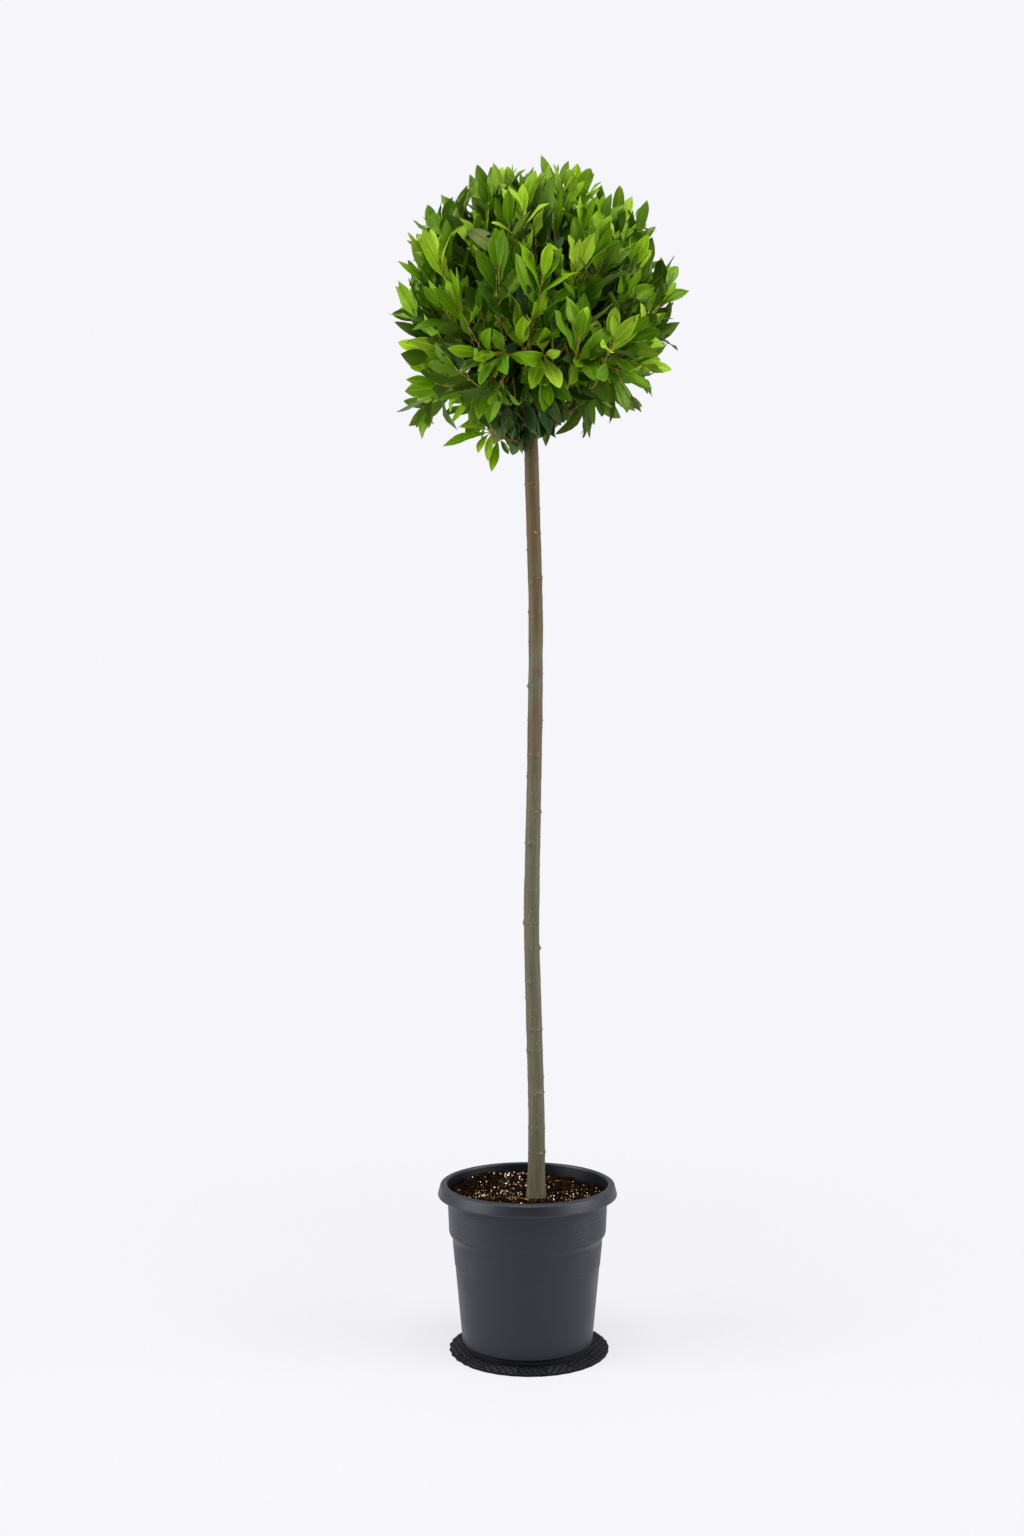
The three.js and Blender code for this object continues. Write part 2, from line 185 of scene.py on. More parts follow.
class Shape:
    """Vertices, and faces in arrays of one corner count each with a material number, which
    several functions add to before one mesh is made."""

    def __init__(self):
        self.vertices = []
        self.faces = []
        self.tags = []
        self.count = 0

    def add(self, vertices, *faces, tag=0):
        """Adds vertices, and arrays of faces that number them from 0. tag is one material
        number, or one for each array of faces."""
        tags = [tag] * len(faces) if isinstance(tag, int) else tag
        self.vertices.append(np.asarray(vertices).reshape(-1, 3))
        for array, number in zip(faces, tags):
            self.faces.append(np.asarray(array, int) + self.count)
            self.tags.append(number)
        self.count += len(self.vertices[-1])

    def mesh(self, name, materials):
        """Makes the mesh, smooth shaded."""
        mesh = bpy.data.meshes.new(name)
        mesh.vertices.add(self.count)
        mesh.vertices.foreach_set("co", np.concatenate(self.vertices).ravel())
        corners = np.concatenate([array.ravel() for array in self.faces])
        totals = np.concatenate([np.full(len(array), array.shape[1]) for array in self.faces])
        tags = np.concatenate([np.full(len(array), n) for array, n in zip(self.faces, self.tags)])
        mesh.loops.add(len(corners))
        mesh.loops.foreach_set("vertex_index", corners)
        mesh.polygons.add(len(totals))
        mesh.polygons.foreach_set("loop_start", np.cumsum(totals) - totals)
        mesh.polygons.foreach_set("material_index", tags)
        mesh.update(calc_edges=True)
        mesh.polygons.foreach_set("use_smooth", np.ones(len(totals), bool))
        for material in materials:
            mesh.materials.append(material)
        return mesh

    def piece(self, name, materials, slot, nodes=()):
        """Makes the mesh and its object, riding on the plant's one body."""
        piece = add_object(name, self.mesh(name, materials))
        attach(piece, "root")
        if nodes:
            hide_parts(*nodes)
        return piece


def keep_values(piece, name, values):
    """Keeps a value for each vertex of a piece, which its material reads by name."""
    kept = piece.data.attributes.new(name, "FLOAT", "POINT")
    kept.data.foreach_set("value", values)


def grid_faces(rows, columns):
    """The four-cornered faces of a grid of closed rings, one ring a row."""
    row = np.arange(rows - 1)[:, None] * columns
    column = np.arange(columns)[None]
    ahead = (column + 1) % columns
    faces = np.stack([row + column, row + ahead, row + columns + ahead, row + columns + column], -1)
    return faces.reshape(-1, 4)


def fan_faces(pole, ring, backwards=False):
    """Triangles from a pole to each stretch of a closed ring of vertex numbers."""
    here, there = np.asarray(ring), np.roll(ring, -1)
    if backwards:
        here, there = there, here
    return np.stack([np.full(len(here), pole), here, there], -1)


def round_angles(segments):
    """Angles evenly spaced round a circle, and their cosines and sines in two columns."""
    angles = np.linspace(0, 2 * np.pi, segments, endpoint=False)
    return angles, np.stack([np.cos(angles), np.sin(angles)], -1)


def stacked_rings(shape, surface, poles, segments, inner_from=None):
    """Adds rings of places, one ring after another, as one surface that a pole closes before
    the first ring and after the last. Faces past the ring inner_from take the second
    material."""
    ring = np.arange(segments)
    grid = grid_faces(len(surface) // segments, segments)
    outer = len(grid) if inner_from is None else inner_from * segments
    shape.add(
        np.concatenate([surface, poles]),
        grid[:outer],
        grid[outer:],
        fan_faces(len(surface), ring, backwards=True),
        fan_faces(len(surface) + 1, len(surface) - segments + ring),
        tag=[0, 1, 0, 0 if inner_from is None else 1],
    )


def turned(shape, profile, segments, relief=0.0, inner_from=None):
    """Adds a profile of (radius, height) rows turned about the upright axis. Its first and
    last row lie on the axis, and it runs outwards below and inwards above. relief is added to
    the radius, for each row and each angle."""
    rings = profile[1:-1]
    radius = np.broadcast_to(rings[:, :1] + relief, (len(rings), segments))
    flat = radius[..., None] * round_angles(segments)[1][None]
    height = np.broadcast_to(rings[:, None, 1:], (len(rings), segments, 1))
    surface = np.concatenate([flat, height], -1).reshape(-1, 3)
    poles = [[0, 0, profile[0, 1]], [0, 0, profile[-1, 1]]]
    stacked_rings(shape, surface, poles, segments, inner_from)


def tubes(shape, centres, radii, sides, tag=0):
    """Adds round tubes along many paths at once. centres is (tubes, steps, 3) and radii is
    (tubes, steps). A ring is centre + radius (cos a across + sin a beside), with across and
    beside square to the path, and each end closes on a point."""
    count, steps = radii.shape
    ahead = unit(np.gradient(centres, axis=1))
    span = np.abs(centres[:, -1] - centres[:, 0])
    helper = np.eye(3)[span.argmin(axis=1)][:, None]
    across = square_to(ahead, np.broadcast_to(helper, ahead.shape))
    beside = np.cross(ahead, across)
    angles = np.linspace(0, 2 * np.pi, sides, endpoint=False)[:, None]
    round_it = np.cos(angles) * across[:, :, None] + np.sin(angles) * beside[:, :, None]
    rings = centres[:, :, None] + radii[:, :, None, None] * round_it
    ends = np.stack([centres[:, 0], centres[:, -1]], 1)
    size = steps * sides + 2
    vertices = np.concatenate([rings.reshape(count, -1, 3), ends], 1)
    first = np.arange(count)[:, None, None] * size
    ring = np.arange(sides)
    body = grid_faces(steps, sides)
    foot = fan_faces(size - 2, ring, backwards=True)
    tip = fan_faces(size - 1, ring + (steps - 1) * sides)
    faces = [(array[None] + first).reshape(-1, array.shape[1]) for array in (body, foot, tip)]
    shape.add(vertices, *faces, tag=tag)


def icosahedron():
    """The twelve corners and twenty faces of an icosahedron of radius 1: the corners are
    (0, +-1, +-golden) and its turns, and three that are 2 apart make a face."""
    golden = (1 + math.sqrt(5)) / 2
    signs = np.array([(a, b * golden) for a in (-1, 1) for b in (-1, 1)])
    zero = np.zeros((4, 1))
    corners = np.concatenate([np.roll(np.hstack([zero, signs]), k, axis=1) for k in range(3)])
    gaps = np.linalg.norm(corners[:, None] - corners[None], axis=-1)
    near = (gaps > 0.1) & (gaps < 2.1)
    faces = np.argwhere(near[:, :, None] & near[None] & near[:, None])
    faces = faces[(faces[:, 0] > faces[:, 1]) & (faces[:, 1] > faces[:, 2])]
    a, b, c = np.moveaxis(corners[faces], 1, 0)
    inwards = (np.cross(b - a, c - a) * a).sum(axis=1) < 0
    faces[inwards] = faces[inwards][:, [0, 2, 1]]
    return unit(corners), faces


def grains(shape, places, sizes, rng, roughness, turn=True):
    """Adds rough grains: an icosahedron with its corners moved in and out at random, drawn out
    to three sizes and, unless turn is off, turned at random."""
    corners, faces = icosahedron()
    count = len(places)
    lumps = corners[None] * (1 + rng.uniform(-roughness, roughness, (count, len(corners), 1)))
    lumps = lumps * np.asarray(sizes)[:, None]
    if turn:
        ahead = unit(rng.normal(size=(count, 3)))
        across = square_to(ahead, unit(rng.normal(size=(count, 3))))
        frames = np.stack([across, np.cross(ahead, across), ahead], 1)
        lumps = lumps @ frames
    vertices = lumps + np.asarray(places)[:, None]
    numbers = faces[None] + np.arange(count)[:, None, None] * len(corners)
    shape.add(vertices, numbers.reshape(-1, 3))


# ------------------------------------------------------------------ materials


# The numbers of a Mix node's sockets for colours: the share, the two colours and the result.
MIX_SHARE, MIX_LOW, MIX_HIGH, MIXED = 0, 6, 7, 2


def add_node(material, kind, inputs=(), stops=(), feeds=(), **settings):
    """Adds one node to a material or the world. inputs maps an input's name or number to a
    value, or to an output that it is joined to; stops are a ramp's (place, hex colour) pairs;
    feeds maps an output's name or number to the input that it is joined to; settings are the
    node's own."""
    tree = material.node_tree
    node = tree.nodes.new(kind)
    for name, value in settings.items():
        setattr(node, name, value)
    for name, value in dict(inputs).items():
        if isinstance(value, bpy.types.NodeSocket):
            tree.links.new(value, node.inputs[name])
        else:
            node.inputs[name].default_value = value
    for number, (place, colour) in enumerate(stops):
        elements = node.color_ramp.elements
        element = elements[number] if number < 2 else elements.new(place)
        element.position = place
        element.color = (*linear(colour), 1)
    for name, fed in dict(feeds).items():
        tree.links.new(node.outputs[name], fed)
    return node


def new_material(name, **surface):
    """A material with one Principled surface, its sockets set by name with _ for a space."""
    material = bpy.data.materials.new(name)
    material.use_nodes = True
    shader = material.node_tree.nodes["Principled BSDF"]
    for socket, value in surface.items():
        shader.inputs[socket.replace("_", " ")].default_value = value
    return material, shader


def mottled(material, shader, colours, size, detail=2.0):
    """Colours the surface by soft noise with patches of a size in metres, through a ramp of
    the colours from the darkest patches to the lightest."""
    places = add_node(material, "ShaderNodeTexCoord").outputs["Object"]
    pattern = add_node(
        material, "ShaderNodeTexNoise", {"Vector": places, "Scale": 1 / size, "Detail": detail}
    )
    steps = np.linspace(0.34, 0.66, len(colours))
    add_node(
        material,
        "ShaderNodeValToRGB",
        {"Fac": pattern.outputs["Fac"]},
        list(zip(steps, colours)),
        {"Color": shader.inputs["Base Color"]},
    )
    return pattern


def shade(colour, factor):
    """A linear colour made lighter or darker, with full alpha."""
    return (*(min(1.0, value * factor) for value in colour), 1)


def leaf_blade(name, colour):
    """The waxed upper side of a laurel leaf: satin, with a green cast to its shine and faint
    cloudy patches 14 mm across, so that no two leaves are quite one green."""
    material, shader = new_material(
        name, Roughness=0.35, Specular_IOR_Level=0.38, Specular_Tint=(0.9, 1.0, 0.12, 1)
    )
    places = add_node(material, "ShaderNodeTexCoord").outputs["Object"]
    pattern = add_node(
        material, "ShaderNodeTexNoise", {"Vector": places, "Scale": 1 / (14 * MM), "Detail": 2.0}
    )
    add_node(
        material,
        "ShaderNodeMix",
        {
            MIX_SHARE: pattern.outputs["Fac"],
            MIX_LOW: shade(colour, 0.78),
            MIX_HIGH: shade(colour, 1.22),
        },
        feeds={MIXED: shader.inputs["Base Color"]},
        data_type="RGBA",
    )
    return material


def plain_plant(name, colour, roughness):
    """A small plant part or grain of one colour, such as a leaf stalk, rib or underside: matt
    to satin and too small for a pattern to show."""
    return new_material(
        name, Base_Color=(*colour, 1), Roughness=roughness, Specular_IOR_Level=0.12
    )[0]


def stem_bark(colours):
    """Young bay bark: smooth, with colours that drift up the stem, fine streaks along it and
    cloudy algae-green patches."""
    material, shader = new_material(
        "Young bay bark, smooth", Roughness=0.6, Specular_IOR_Level=0.25
    )
    places = add_node(material, "ShaderNodeTexCoord").outputs["Object"]
    streaked = add_node(
        material, "ShaderNodeMapping", {"Vector": places, "Scale": (1.0, 1.0, 0.06)}
    )
    streaks = add_node(
        material,
        "ShaderNodeTexNoise",
        {"Vector": streaked.outputs[0], "Scale": 1 / (2.2 * MM), "Detail": 3.0},
    )
    clouds = add_node(
        material, "ShaderNodeTexNoise", {"Vector": places, "Scale": 1 / (24 * MM), "Detail": 4.0}
    )
    height = add_node(material, "ShaderNodeSeparateXYZ", {0: places})
    drift = add_node(
        material,
        "ShaderNodeMath",
        {0: clouds.outputs["Fac"], 1: 0.16, 2: height.outputs["Z"]},
        operation="MULTIPLY_ADD",
    )
    along = add_node(
        material,
        "ShaderNodeMapRange",
        {"Value": drift.outputs[0], "From Min": STEM_LEVELS[0], "From Max": STEM_LEVELS[-1]},
    )
    zones = add_node(material, "ShaderNodeValToRGB", {"Fac": along.outputs[0]}, colours)
    light = add_node(
        material,
        "ShaderNodeMapRange",
        {
            "Value": streaks.outputs["Fac"],
            "From Min": 0.3,
            "From Max": 0.7,
            "To Min": 0.78,
            "To Max": 1.2,
        },
    )
    streaky = add_node(
        material,
        "ShaderNodeVectorMath",
        {0: zones.outputs["Color"], "Scale": light.outputs[0]},
        operation="SCALE",
    )
    greened = add_node(
        material,
        "ShaderNodeMapRange",
        {"Value": clouds.outputs["Fac"], "From Min": 0.5, "From Max": 0.72, "To Max": 0.5},
    )
    add_node(
        material,
        "ShaderNodeMix",
        {
            MIX_SHARE: greened.outputs[0],
            MIX_LOW: streaky.outputs[0],
            MIX_HIGH: (*linear("4f5538"), 1),
        },
        feeds={MIXED: shader.inputs["Base Color"]},
        data_type="RGBA",
    )
    add_node(
        material,
        "ShaderNodeBump",
        {"Height": streaks.outputs["Fac"], "Distance": 0.25 * MM, "Strength": 1.0},
        feeds={"Normal": shader.inputs["Normal"]},
    )
    return material


def twig_bark(name, colours, sheen=0.2, size=9 * MM):
    """Bark or peat: nearly matt, brown to olive, in soft patches of a size in metres."""
    material, shader = new_material(name, Roughness=0.6, Specular_IOR_Level=sheen)
    mottled(material, shader, colours, size)
    return material


def moulded_plastic(name, colour, sheen):
    """Injection-moulded polypropylene with carbon black: satin, with a faint cloudy flow mark,
    and lighter or darker where the mesh's painted light attribute says so: painted highlights on
    the edges and the ribs' crests, and painted shade in the ribs' grooves, on the lip's face and
    down inside. The mould's eggshell grain, in truth about 0.2 mm, is drawn at 0.9 mm so that it
    shows."""
    material, shader = new_material(name, Roughness=0.42, Specular_IOR_Level=sheen)
    places = add_node(material, "ShaderNodeTexCoord").outputs["Object"]
    clouds = add_node(
        material, "ShaderNodeTexNoise", {"Vector": places, "Scale": 1 / (30 * MM), "Detail": 3.0}
    )
    mixed = add_node(
        material,
        "ShaderNodeMix",
        {
            MIX_SHARE: clouds.outputs["Fac"],
            MIX_LOW: shade(colour, 0.88),
            MIX_HIGH: shade(colour, 1.14),
        },
        data_type="RGBA",
    )
    # Painted light and shade from the mesh: highlights on the edges and rib crests, shade in the
    # grooves, on the lip's face and inside; the colour is scaled by 2.6 to its power.
    painted_light = add_node(material, "ShaderNodeAttribute", attribute_name="painted_light")
    painted_light_scale = add_node(
        material, "ShaderNodeMath", {0: 2.6, 1: painted_light.outputs["Fac"]}, operation="POWER"
    )
    add_node(
        material,
        "ShaderNodeVectorMath",
        {0: mixed.outputs[MIXED], "Scale": painted_light_scale.outputs[0]},
        feeds={0: shader.inputs["Base Color"]},
        operation="SCALE",
    )
    add_node(
        material,
        "ShaderNodeMapRange",
        {
            "Value": clouds.outputs["Fac"],
            "From Min": 0.3,
            "From Max": 0.7,
            "To Min": 0.38,
            "To Max": 0.5,
        },
        feeds={0: shader.inputs["Roughness"]},
    )
    grain = add_node(
        material, "ShaderNodeTexNoise", {"Vector": places, "Scale": 1 / (0.9 * MM), "Detail": 1.0}
    )
    add_node(
        material,
        "ShaderNodeBump",
        {"Height": grain.outputs["Fac"], "Distance": 0.05 * MM, "Strength": 1.0},
        feeds={"Normal": shader.inputs["Normal"]},
    )
    return material


def compost_earth(colours):
    """Moist peat and bark compost: matt and dark, with crumbs of a few millimetres in several
    browns."""
    material, shader = new_material("Peat and bark compost", Roughness=0.9, Specular_IOR_Level=0.0)
    pattern = mottled(material, shader, colours, 2.5 * MM, detail=5.0)
    add_node(
        material,
        "ShaderNodeBump",
        {"Height": pattern.outputs["Fac"], "Distance": 1.2 * MM, "Strength": 1.0},
        feeds={"Normal": shader.inputs["Normal"]},
    )
    return material


def woven_rubber(colour):
    """Black rubber pressed on a coarse weave: matt, lighter on top of its threads, worn in patches
    and painted as the light they catch, and much darker in the hollows between them, painted
    shade, going by the threads' height, which the mesh keeps as its relief."""
    material, shader = new_material("Rubber, woven relief", Roughness=0.7, Specular_IOR_Level=0.15)
    places = add_node(material, "ShaderNodeTexCoord").outputs["Object"]
    worn = add_node(
        material, "ShaderNodeTexNoise", {"Vector": places, "Scale": 1 / (3 * MM), "Detail": 6.0}
    )
    raised = add_node(material, "ShaderNodeAttribute", attribute_name="relief")
    # The threads' height times patchy noise: dark in the hollows as painted shade, lighter on the
    # worn tops.
    painted_light = add_node(
        material,
        "ShaderNodeMath",
        {0: raised.outputs["Fac"], 1: worn.outputs["Fac"]},
        operation="MULTIPLY",
    )
    add_node(
        material,
        "ShaderNodeMix",
        {MIX_SHARE: painted_light.outputs[0], MIX_LOW: shade(colour, 0.1), MIX_HIGH: shade(colour, 7.0)},
        feeds={MIXED: shader.inputs["Base Color"]},
        data_type="RGBA",
    )
    add_node(
        material,
        "ShaderNodeBump",
        {"Height": worn.outputs["Fac"], "Distance": 0.4 * MM, "Strength": 1.0},
        feeds={"Normal": shader.inputs["Normal"]},
    )
    return material


# ------------------------------------------------------------------ the user's sizes


class TopiaryPot(bpy.types.PropertyGroup):
    """Sizes of the pot and mat that the frame's boxes don't give."""

    wall: length_property("Wall", "Thickness of the pot's wall", 1.8)
    foot_radius: length_property("Foot radius", "Radius of the recessed foot ring", 60.5)
    foot_height: length_property("Foot height", "Height of the recessed foot", 6.5)
    wall_foot: length_property("Wall foot radius", "Radius where the wall begins", 64.0)
    wall_top: length_property("Wall top radius", "Radius under the collar", 73.5)
    collar_foot: length_property("Collar foot", "Height where the wall steps out", 111.0)
    collar_top: length_property("Collar top", "Height where the step ends", 115.8)
    collar_radius: length_property("Collar radius", "Radius above the step", 76.6)
    neck_radius: length_property("Neck radius", "Radius just under the lip", 78.2)
    lip_height: length_property("Lip height", "Height of the turned-down lip", 11.6)
    rib_pitch: length_property("Rib pitch", "Spacing of the fine ribs", 2.4)
    rib_depth: length_property("Rib depth", "How far a rib stands out", 0.42)
    weave_pitch: length_property("Weave pitch", "Spacing of the mat's threads", 3.6)
    weave_depth: length_property("Weave depth", "Relief of the mat's threads", 0.8)
    plastic: colour_property("Pot colour", "Slate grey of the plastic", "191c25")
    rubber: colour_property("Mat colour", "Black of the mat", "161619")


class TopiaryCompost(bpy.types.PropertyGroup):
    """Counts and sizes of what lies in the pot."""

    lumps: length_property("Lumps", "Height of the rolling lumps", 6.5)
    back_rise: length_property("Back rise", "How much higher the back left lies", 5.0)
    crumbs: IntProperty(name="Crumbs", description="Crumbs of compost", default=7000)
    chips: IntProperty(name="Chips", description="Chips of pale bark", default=100)
    perlite: IntProperty(name="Perlite", description="Grains of perlite", default=170)
    grit: IntProperty(name="Grit", description="Pale fine grit, in patches", default=560)
    seed: IntProperty(name="Seed", description="Chooses the grains' places", default=1)


class TopiaryStem(bpy.types.PropertyGroup):
    """The bark's relief."""

    knot_spacing: length_property("Knot spacing", "Mean distance between leaf scars", 24.0)
    knot_height: length_property("Knot height", "How far a scar stands out", 1.3)
    ring_height: length_property("Ring height", "How far the ring at a scar stands out", 0.35)
    waviness: length_property("Waviness", "Slow unevenness of the bark", 0.3)
    seed: IntProperty(name="Seed", description="Chooses the scars' places", default=4)


class TopiaryCrown(bpy.types.PropertyGroup):
    """Counts and sizes of the branching rule."""

    branches: IntProperty(name="Branches", description="Branches within the ball", default=60)
    shoots: IntProperty(name="Shoots", description="Leafy shoots at its surface", default=250)
    leaves: IntProperty(name="Leaves", description="Leaves on each shoot", default=10)
    collar: IntProperty(
        name="Drooping shoots", description="Short shoots round the top of the stem", default=14
    )
    inner_leaves: IntProperty(name="Inner leaves", description="Older leaves inside", default=340)
    leaf_length: length_property("Leaf length", "Length of a full-grown leaf", 42.0)
    leaf_width: FloatProperty(
        name="Leaf width", description="Width as a share of length", subtype="FACTOR", default=0.35
    )
    squareness_top: FloatProperty(
        name="Squareness above", description="2 is round, more is squarer", default=2.15
    )
    squareness_foot: FloatProperty(
        name="Squareness below", description="2 is round, more is squarer", default=4.2
    )
    spreading: FloatProperty(
        name="Spreading", description="How far leaves turn along the ball's surface", default=0.4
    )
    light_seeking: FloatProperty(
        name="Light seeking", description="How far leaves roll to face outwards", default=2.5
    )
    seed: IntProperty(name="Seed", description="Chooses how the crown grows", default=1)


class TopiaryStage(bpy.types.PropertyGroup):
    """The camera, the floor and the light."""

    distance: length_property("Camera distance", "From the pot's axis", 1700.0)
    height: length_property("Camera height", "Above the floor", 600.0)
    aside: length_property("Camera aside", "To the left of the pot's axis", 15.2)
    lens: FloatProperty(name="Lens", description="Focal length in millimetres", default=40.7)
    pitch: FloatProperty(
        name="Pitch", description="Tilt below level", subtype="ANGLE", default=math.radians(0.97)
    )
    ambient: FloatProperty(name="Ambient", description="Strength of the light behind", default=0.6)
    ambient_front: FloatProperty(
        name="Ambient in front", description="Strength of the light from this side", default=0.2
    )
    backdrop: colour_property("Backdrop", "Pale studio white", "f6f5fa")


# ------------------------------------------------------------------ mat and pot


# Degrees round the mat at which its panels meet, and the seed that lays them.
MAT_JOINTS = (20, 62, 118, 160, 201, 214, 232, 261, 283, 305, 334)
MAT_SEED = 5


def build_mat(sizes):
    """The mat: rings round its centre out to a frayed edge, which is the mean radius less a
    little times |sin| of the way along it. The top's height is the thickness less a basket
    weave, sin(pi x / pitch) sin(0.7 pi y / pitch), which lies a little askew and is worn
    differently in each panel, with the joints between the panels pressed in. Only the part
    outside the pot is finely divided."""
    (low_x, low_y, base), (high_x, high_y, top) = (tuple(end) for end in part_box("mat"))
    centre = np.array([(low_x + high_x) / 2, (low_y + high_y) / 2])
    radius = (high_x - low_x) / 2
    segments = 720
    angles, edge = round_angles(segments)
    hidden = [12 * MM, 34 * MM, sizes.foot_radius - 8 * MM]
    fine = np.linspace(sizes.foot_radius - 6 * MM, radius - 0.4 * MM, 34)
    rings = np.concatenate([hidden, fine])
    threads = np.abs(np.sin(angles * radius / sizes.weave_pitch * 0.8))
    frayed = 0.35 + 0.65 * (np.cos(angles - 2.5) > 0.2)
    fray = 1 - 0.016 * threads * frayed
    flat = rings[:, None, None] * (edge * fray[:, None])[None]

    rng = np.random.default_rng(MAT_SEED)
    joints = np.radians(MAT_JOINTS)
    panel = np.searchsorted(joints, angles) % len(joints)
    askew = rng.uniform(-0.35, 0.35, len(joints))[panel]
    panel_light = rng.uniform(0.55, 1.35, len(joints))[panel]
    turned_x = np.cos(askew) * flat[..., 0] + np.sin(askew) * flat[..., 1]
    turned_y = np.cos(askew) * flat[..., 1] - np.sin(askew) * flat[..., 0]
    pitch = math.pi / sizes.weave_pitch
    weave = np.sin(pitch * turned_x) * np.sin(0.7 * pitch * turned_y)
    apart = np.abs((angles[:, None] - joints + np.pi) % (2 * np.pi) - np.pi).min(axis=1)
    seam = np.exp(-((apart[None] * rings[:, None] / (0.7 * MM)) ** 2))
    outside = smooth_rise(rings, sizes.foot_radius - 2 * MM, sizes.foot_radius + 1 * MM)[:, None]
    grain = noise(np.dstack([flat, np.zeros(flat.shape[:2])]), 1.6 * MM, 3)
    relief = sizes.weave_depth * (0.5 - 0.5 * weave) * (1 - 0.5 * seam) + 0.5 * MM * seam
    height = top - outside * (relief + 0.12 * MM * (1 + grain))

    rim = radius * edge * fray[:, None]
    rows = [np.column_stack([flat[k], height[k]]) for k in range(len(rings))]
    rows.append(np.column_stack([rim, height[-1] - 0.7 * MM]))
    rows.append(np.column_stack([rim, np.full(segments, base + 0.5 * MM)]))
    rows.append(np.column_stack([rim * 0.994, np.full(segments, base)]))
    surface = np.concatenate(rows[::-1]) + [*centre, 0]
    poles = np.array([[*centre, base], [*centre, top]])
    shape = Shape()
    stacked_rings(shape, surface, poles, segments)
    piece = shape.piece("woven_mat", [woven_rubber(sizes.rubber)], "mat_rubber", ["mat"])
    heights = np.concatenate([surface[:, 2], [base, top]])
    # 1 on the threads' tops and 0 in the hollows between them, which the rubber paints dark as
    # shade.
    raised = smooth_rise(heights, top - 0.95 * MM, top - 0.1 * MM)
    bright = np.concatenate([np.tile(panel_light, len(rows)), [1.0, 1.0]])
    keep_values(piece, "relief", raised * bright)


def rounded(corners, radius):
    """A polyline with each inner corner cut back by a radius and bridged by the four points of
    a quadratic curve whose middle handle is the corner."""
    corners = np.asarray(corners, float)
    before, here, after = corners[:-2], corners[1:-1], corners[2:]
    back, on = before - here, after - here
    room = np.minimum(np.linalg.norm(back, axis=1), np.linalg.norm(on, axis=1)) * 0.45
    cut = np.minimum(radius, room)[:, None]
    start, end = here + unit(back) * cut, here + unit(on) * cut
    t = np.linspace(0, 1, 4)[None, :, None]
    curve = (1 - t) ** 2 * start[:, None] + 2 * t * (1 - t) * here[:, None] + t**2 * end[:, None]
    return np.concatenate([corners[:1], curve.reshape(-1, 2), corners[-1:]])


def ribbed(foot, top, pitch, depth):
    """A stretch of wall between two (radius, height) ends with fine ribs: rows of radius,
    height and the rib's own relief, depth sin^2(pi n t)."""
    foot, top = np.array(foot), np.array(top)
    count = round((top[1] - foot[1]) / pitch)
    t = np.linspace(0, 1, count * 7 + 1)
    line = foot + (top - foot) * t[:, None]
    return np.column_stack([line, depth * np.sin(np.pi * count * t) ** 2])


# Millimetres up the pot of its two bands of fine ribs, the upper one from just above the
# collar's step.
LOWER_RIBS = (84, 107)
UPPER_RIBS_TOP = 143
# Rings of the pot's mesh from its top to where the inner wall begins, and to where a duller
# material, with less shine, paints shade on it.
INWARD_FROM, SHADE_PAINTED_FROM = 3, 7


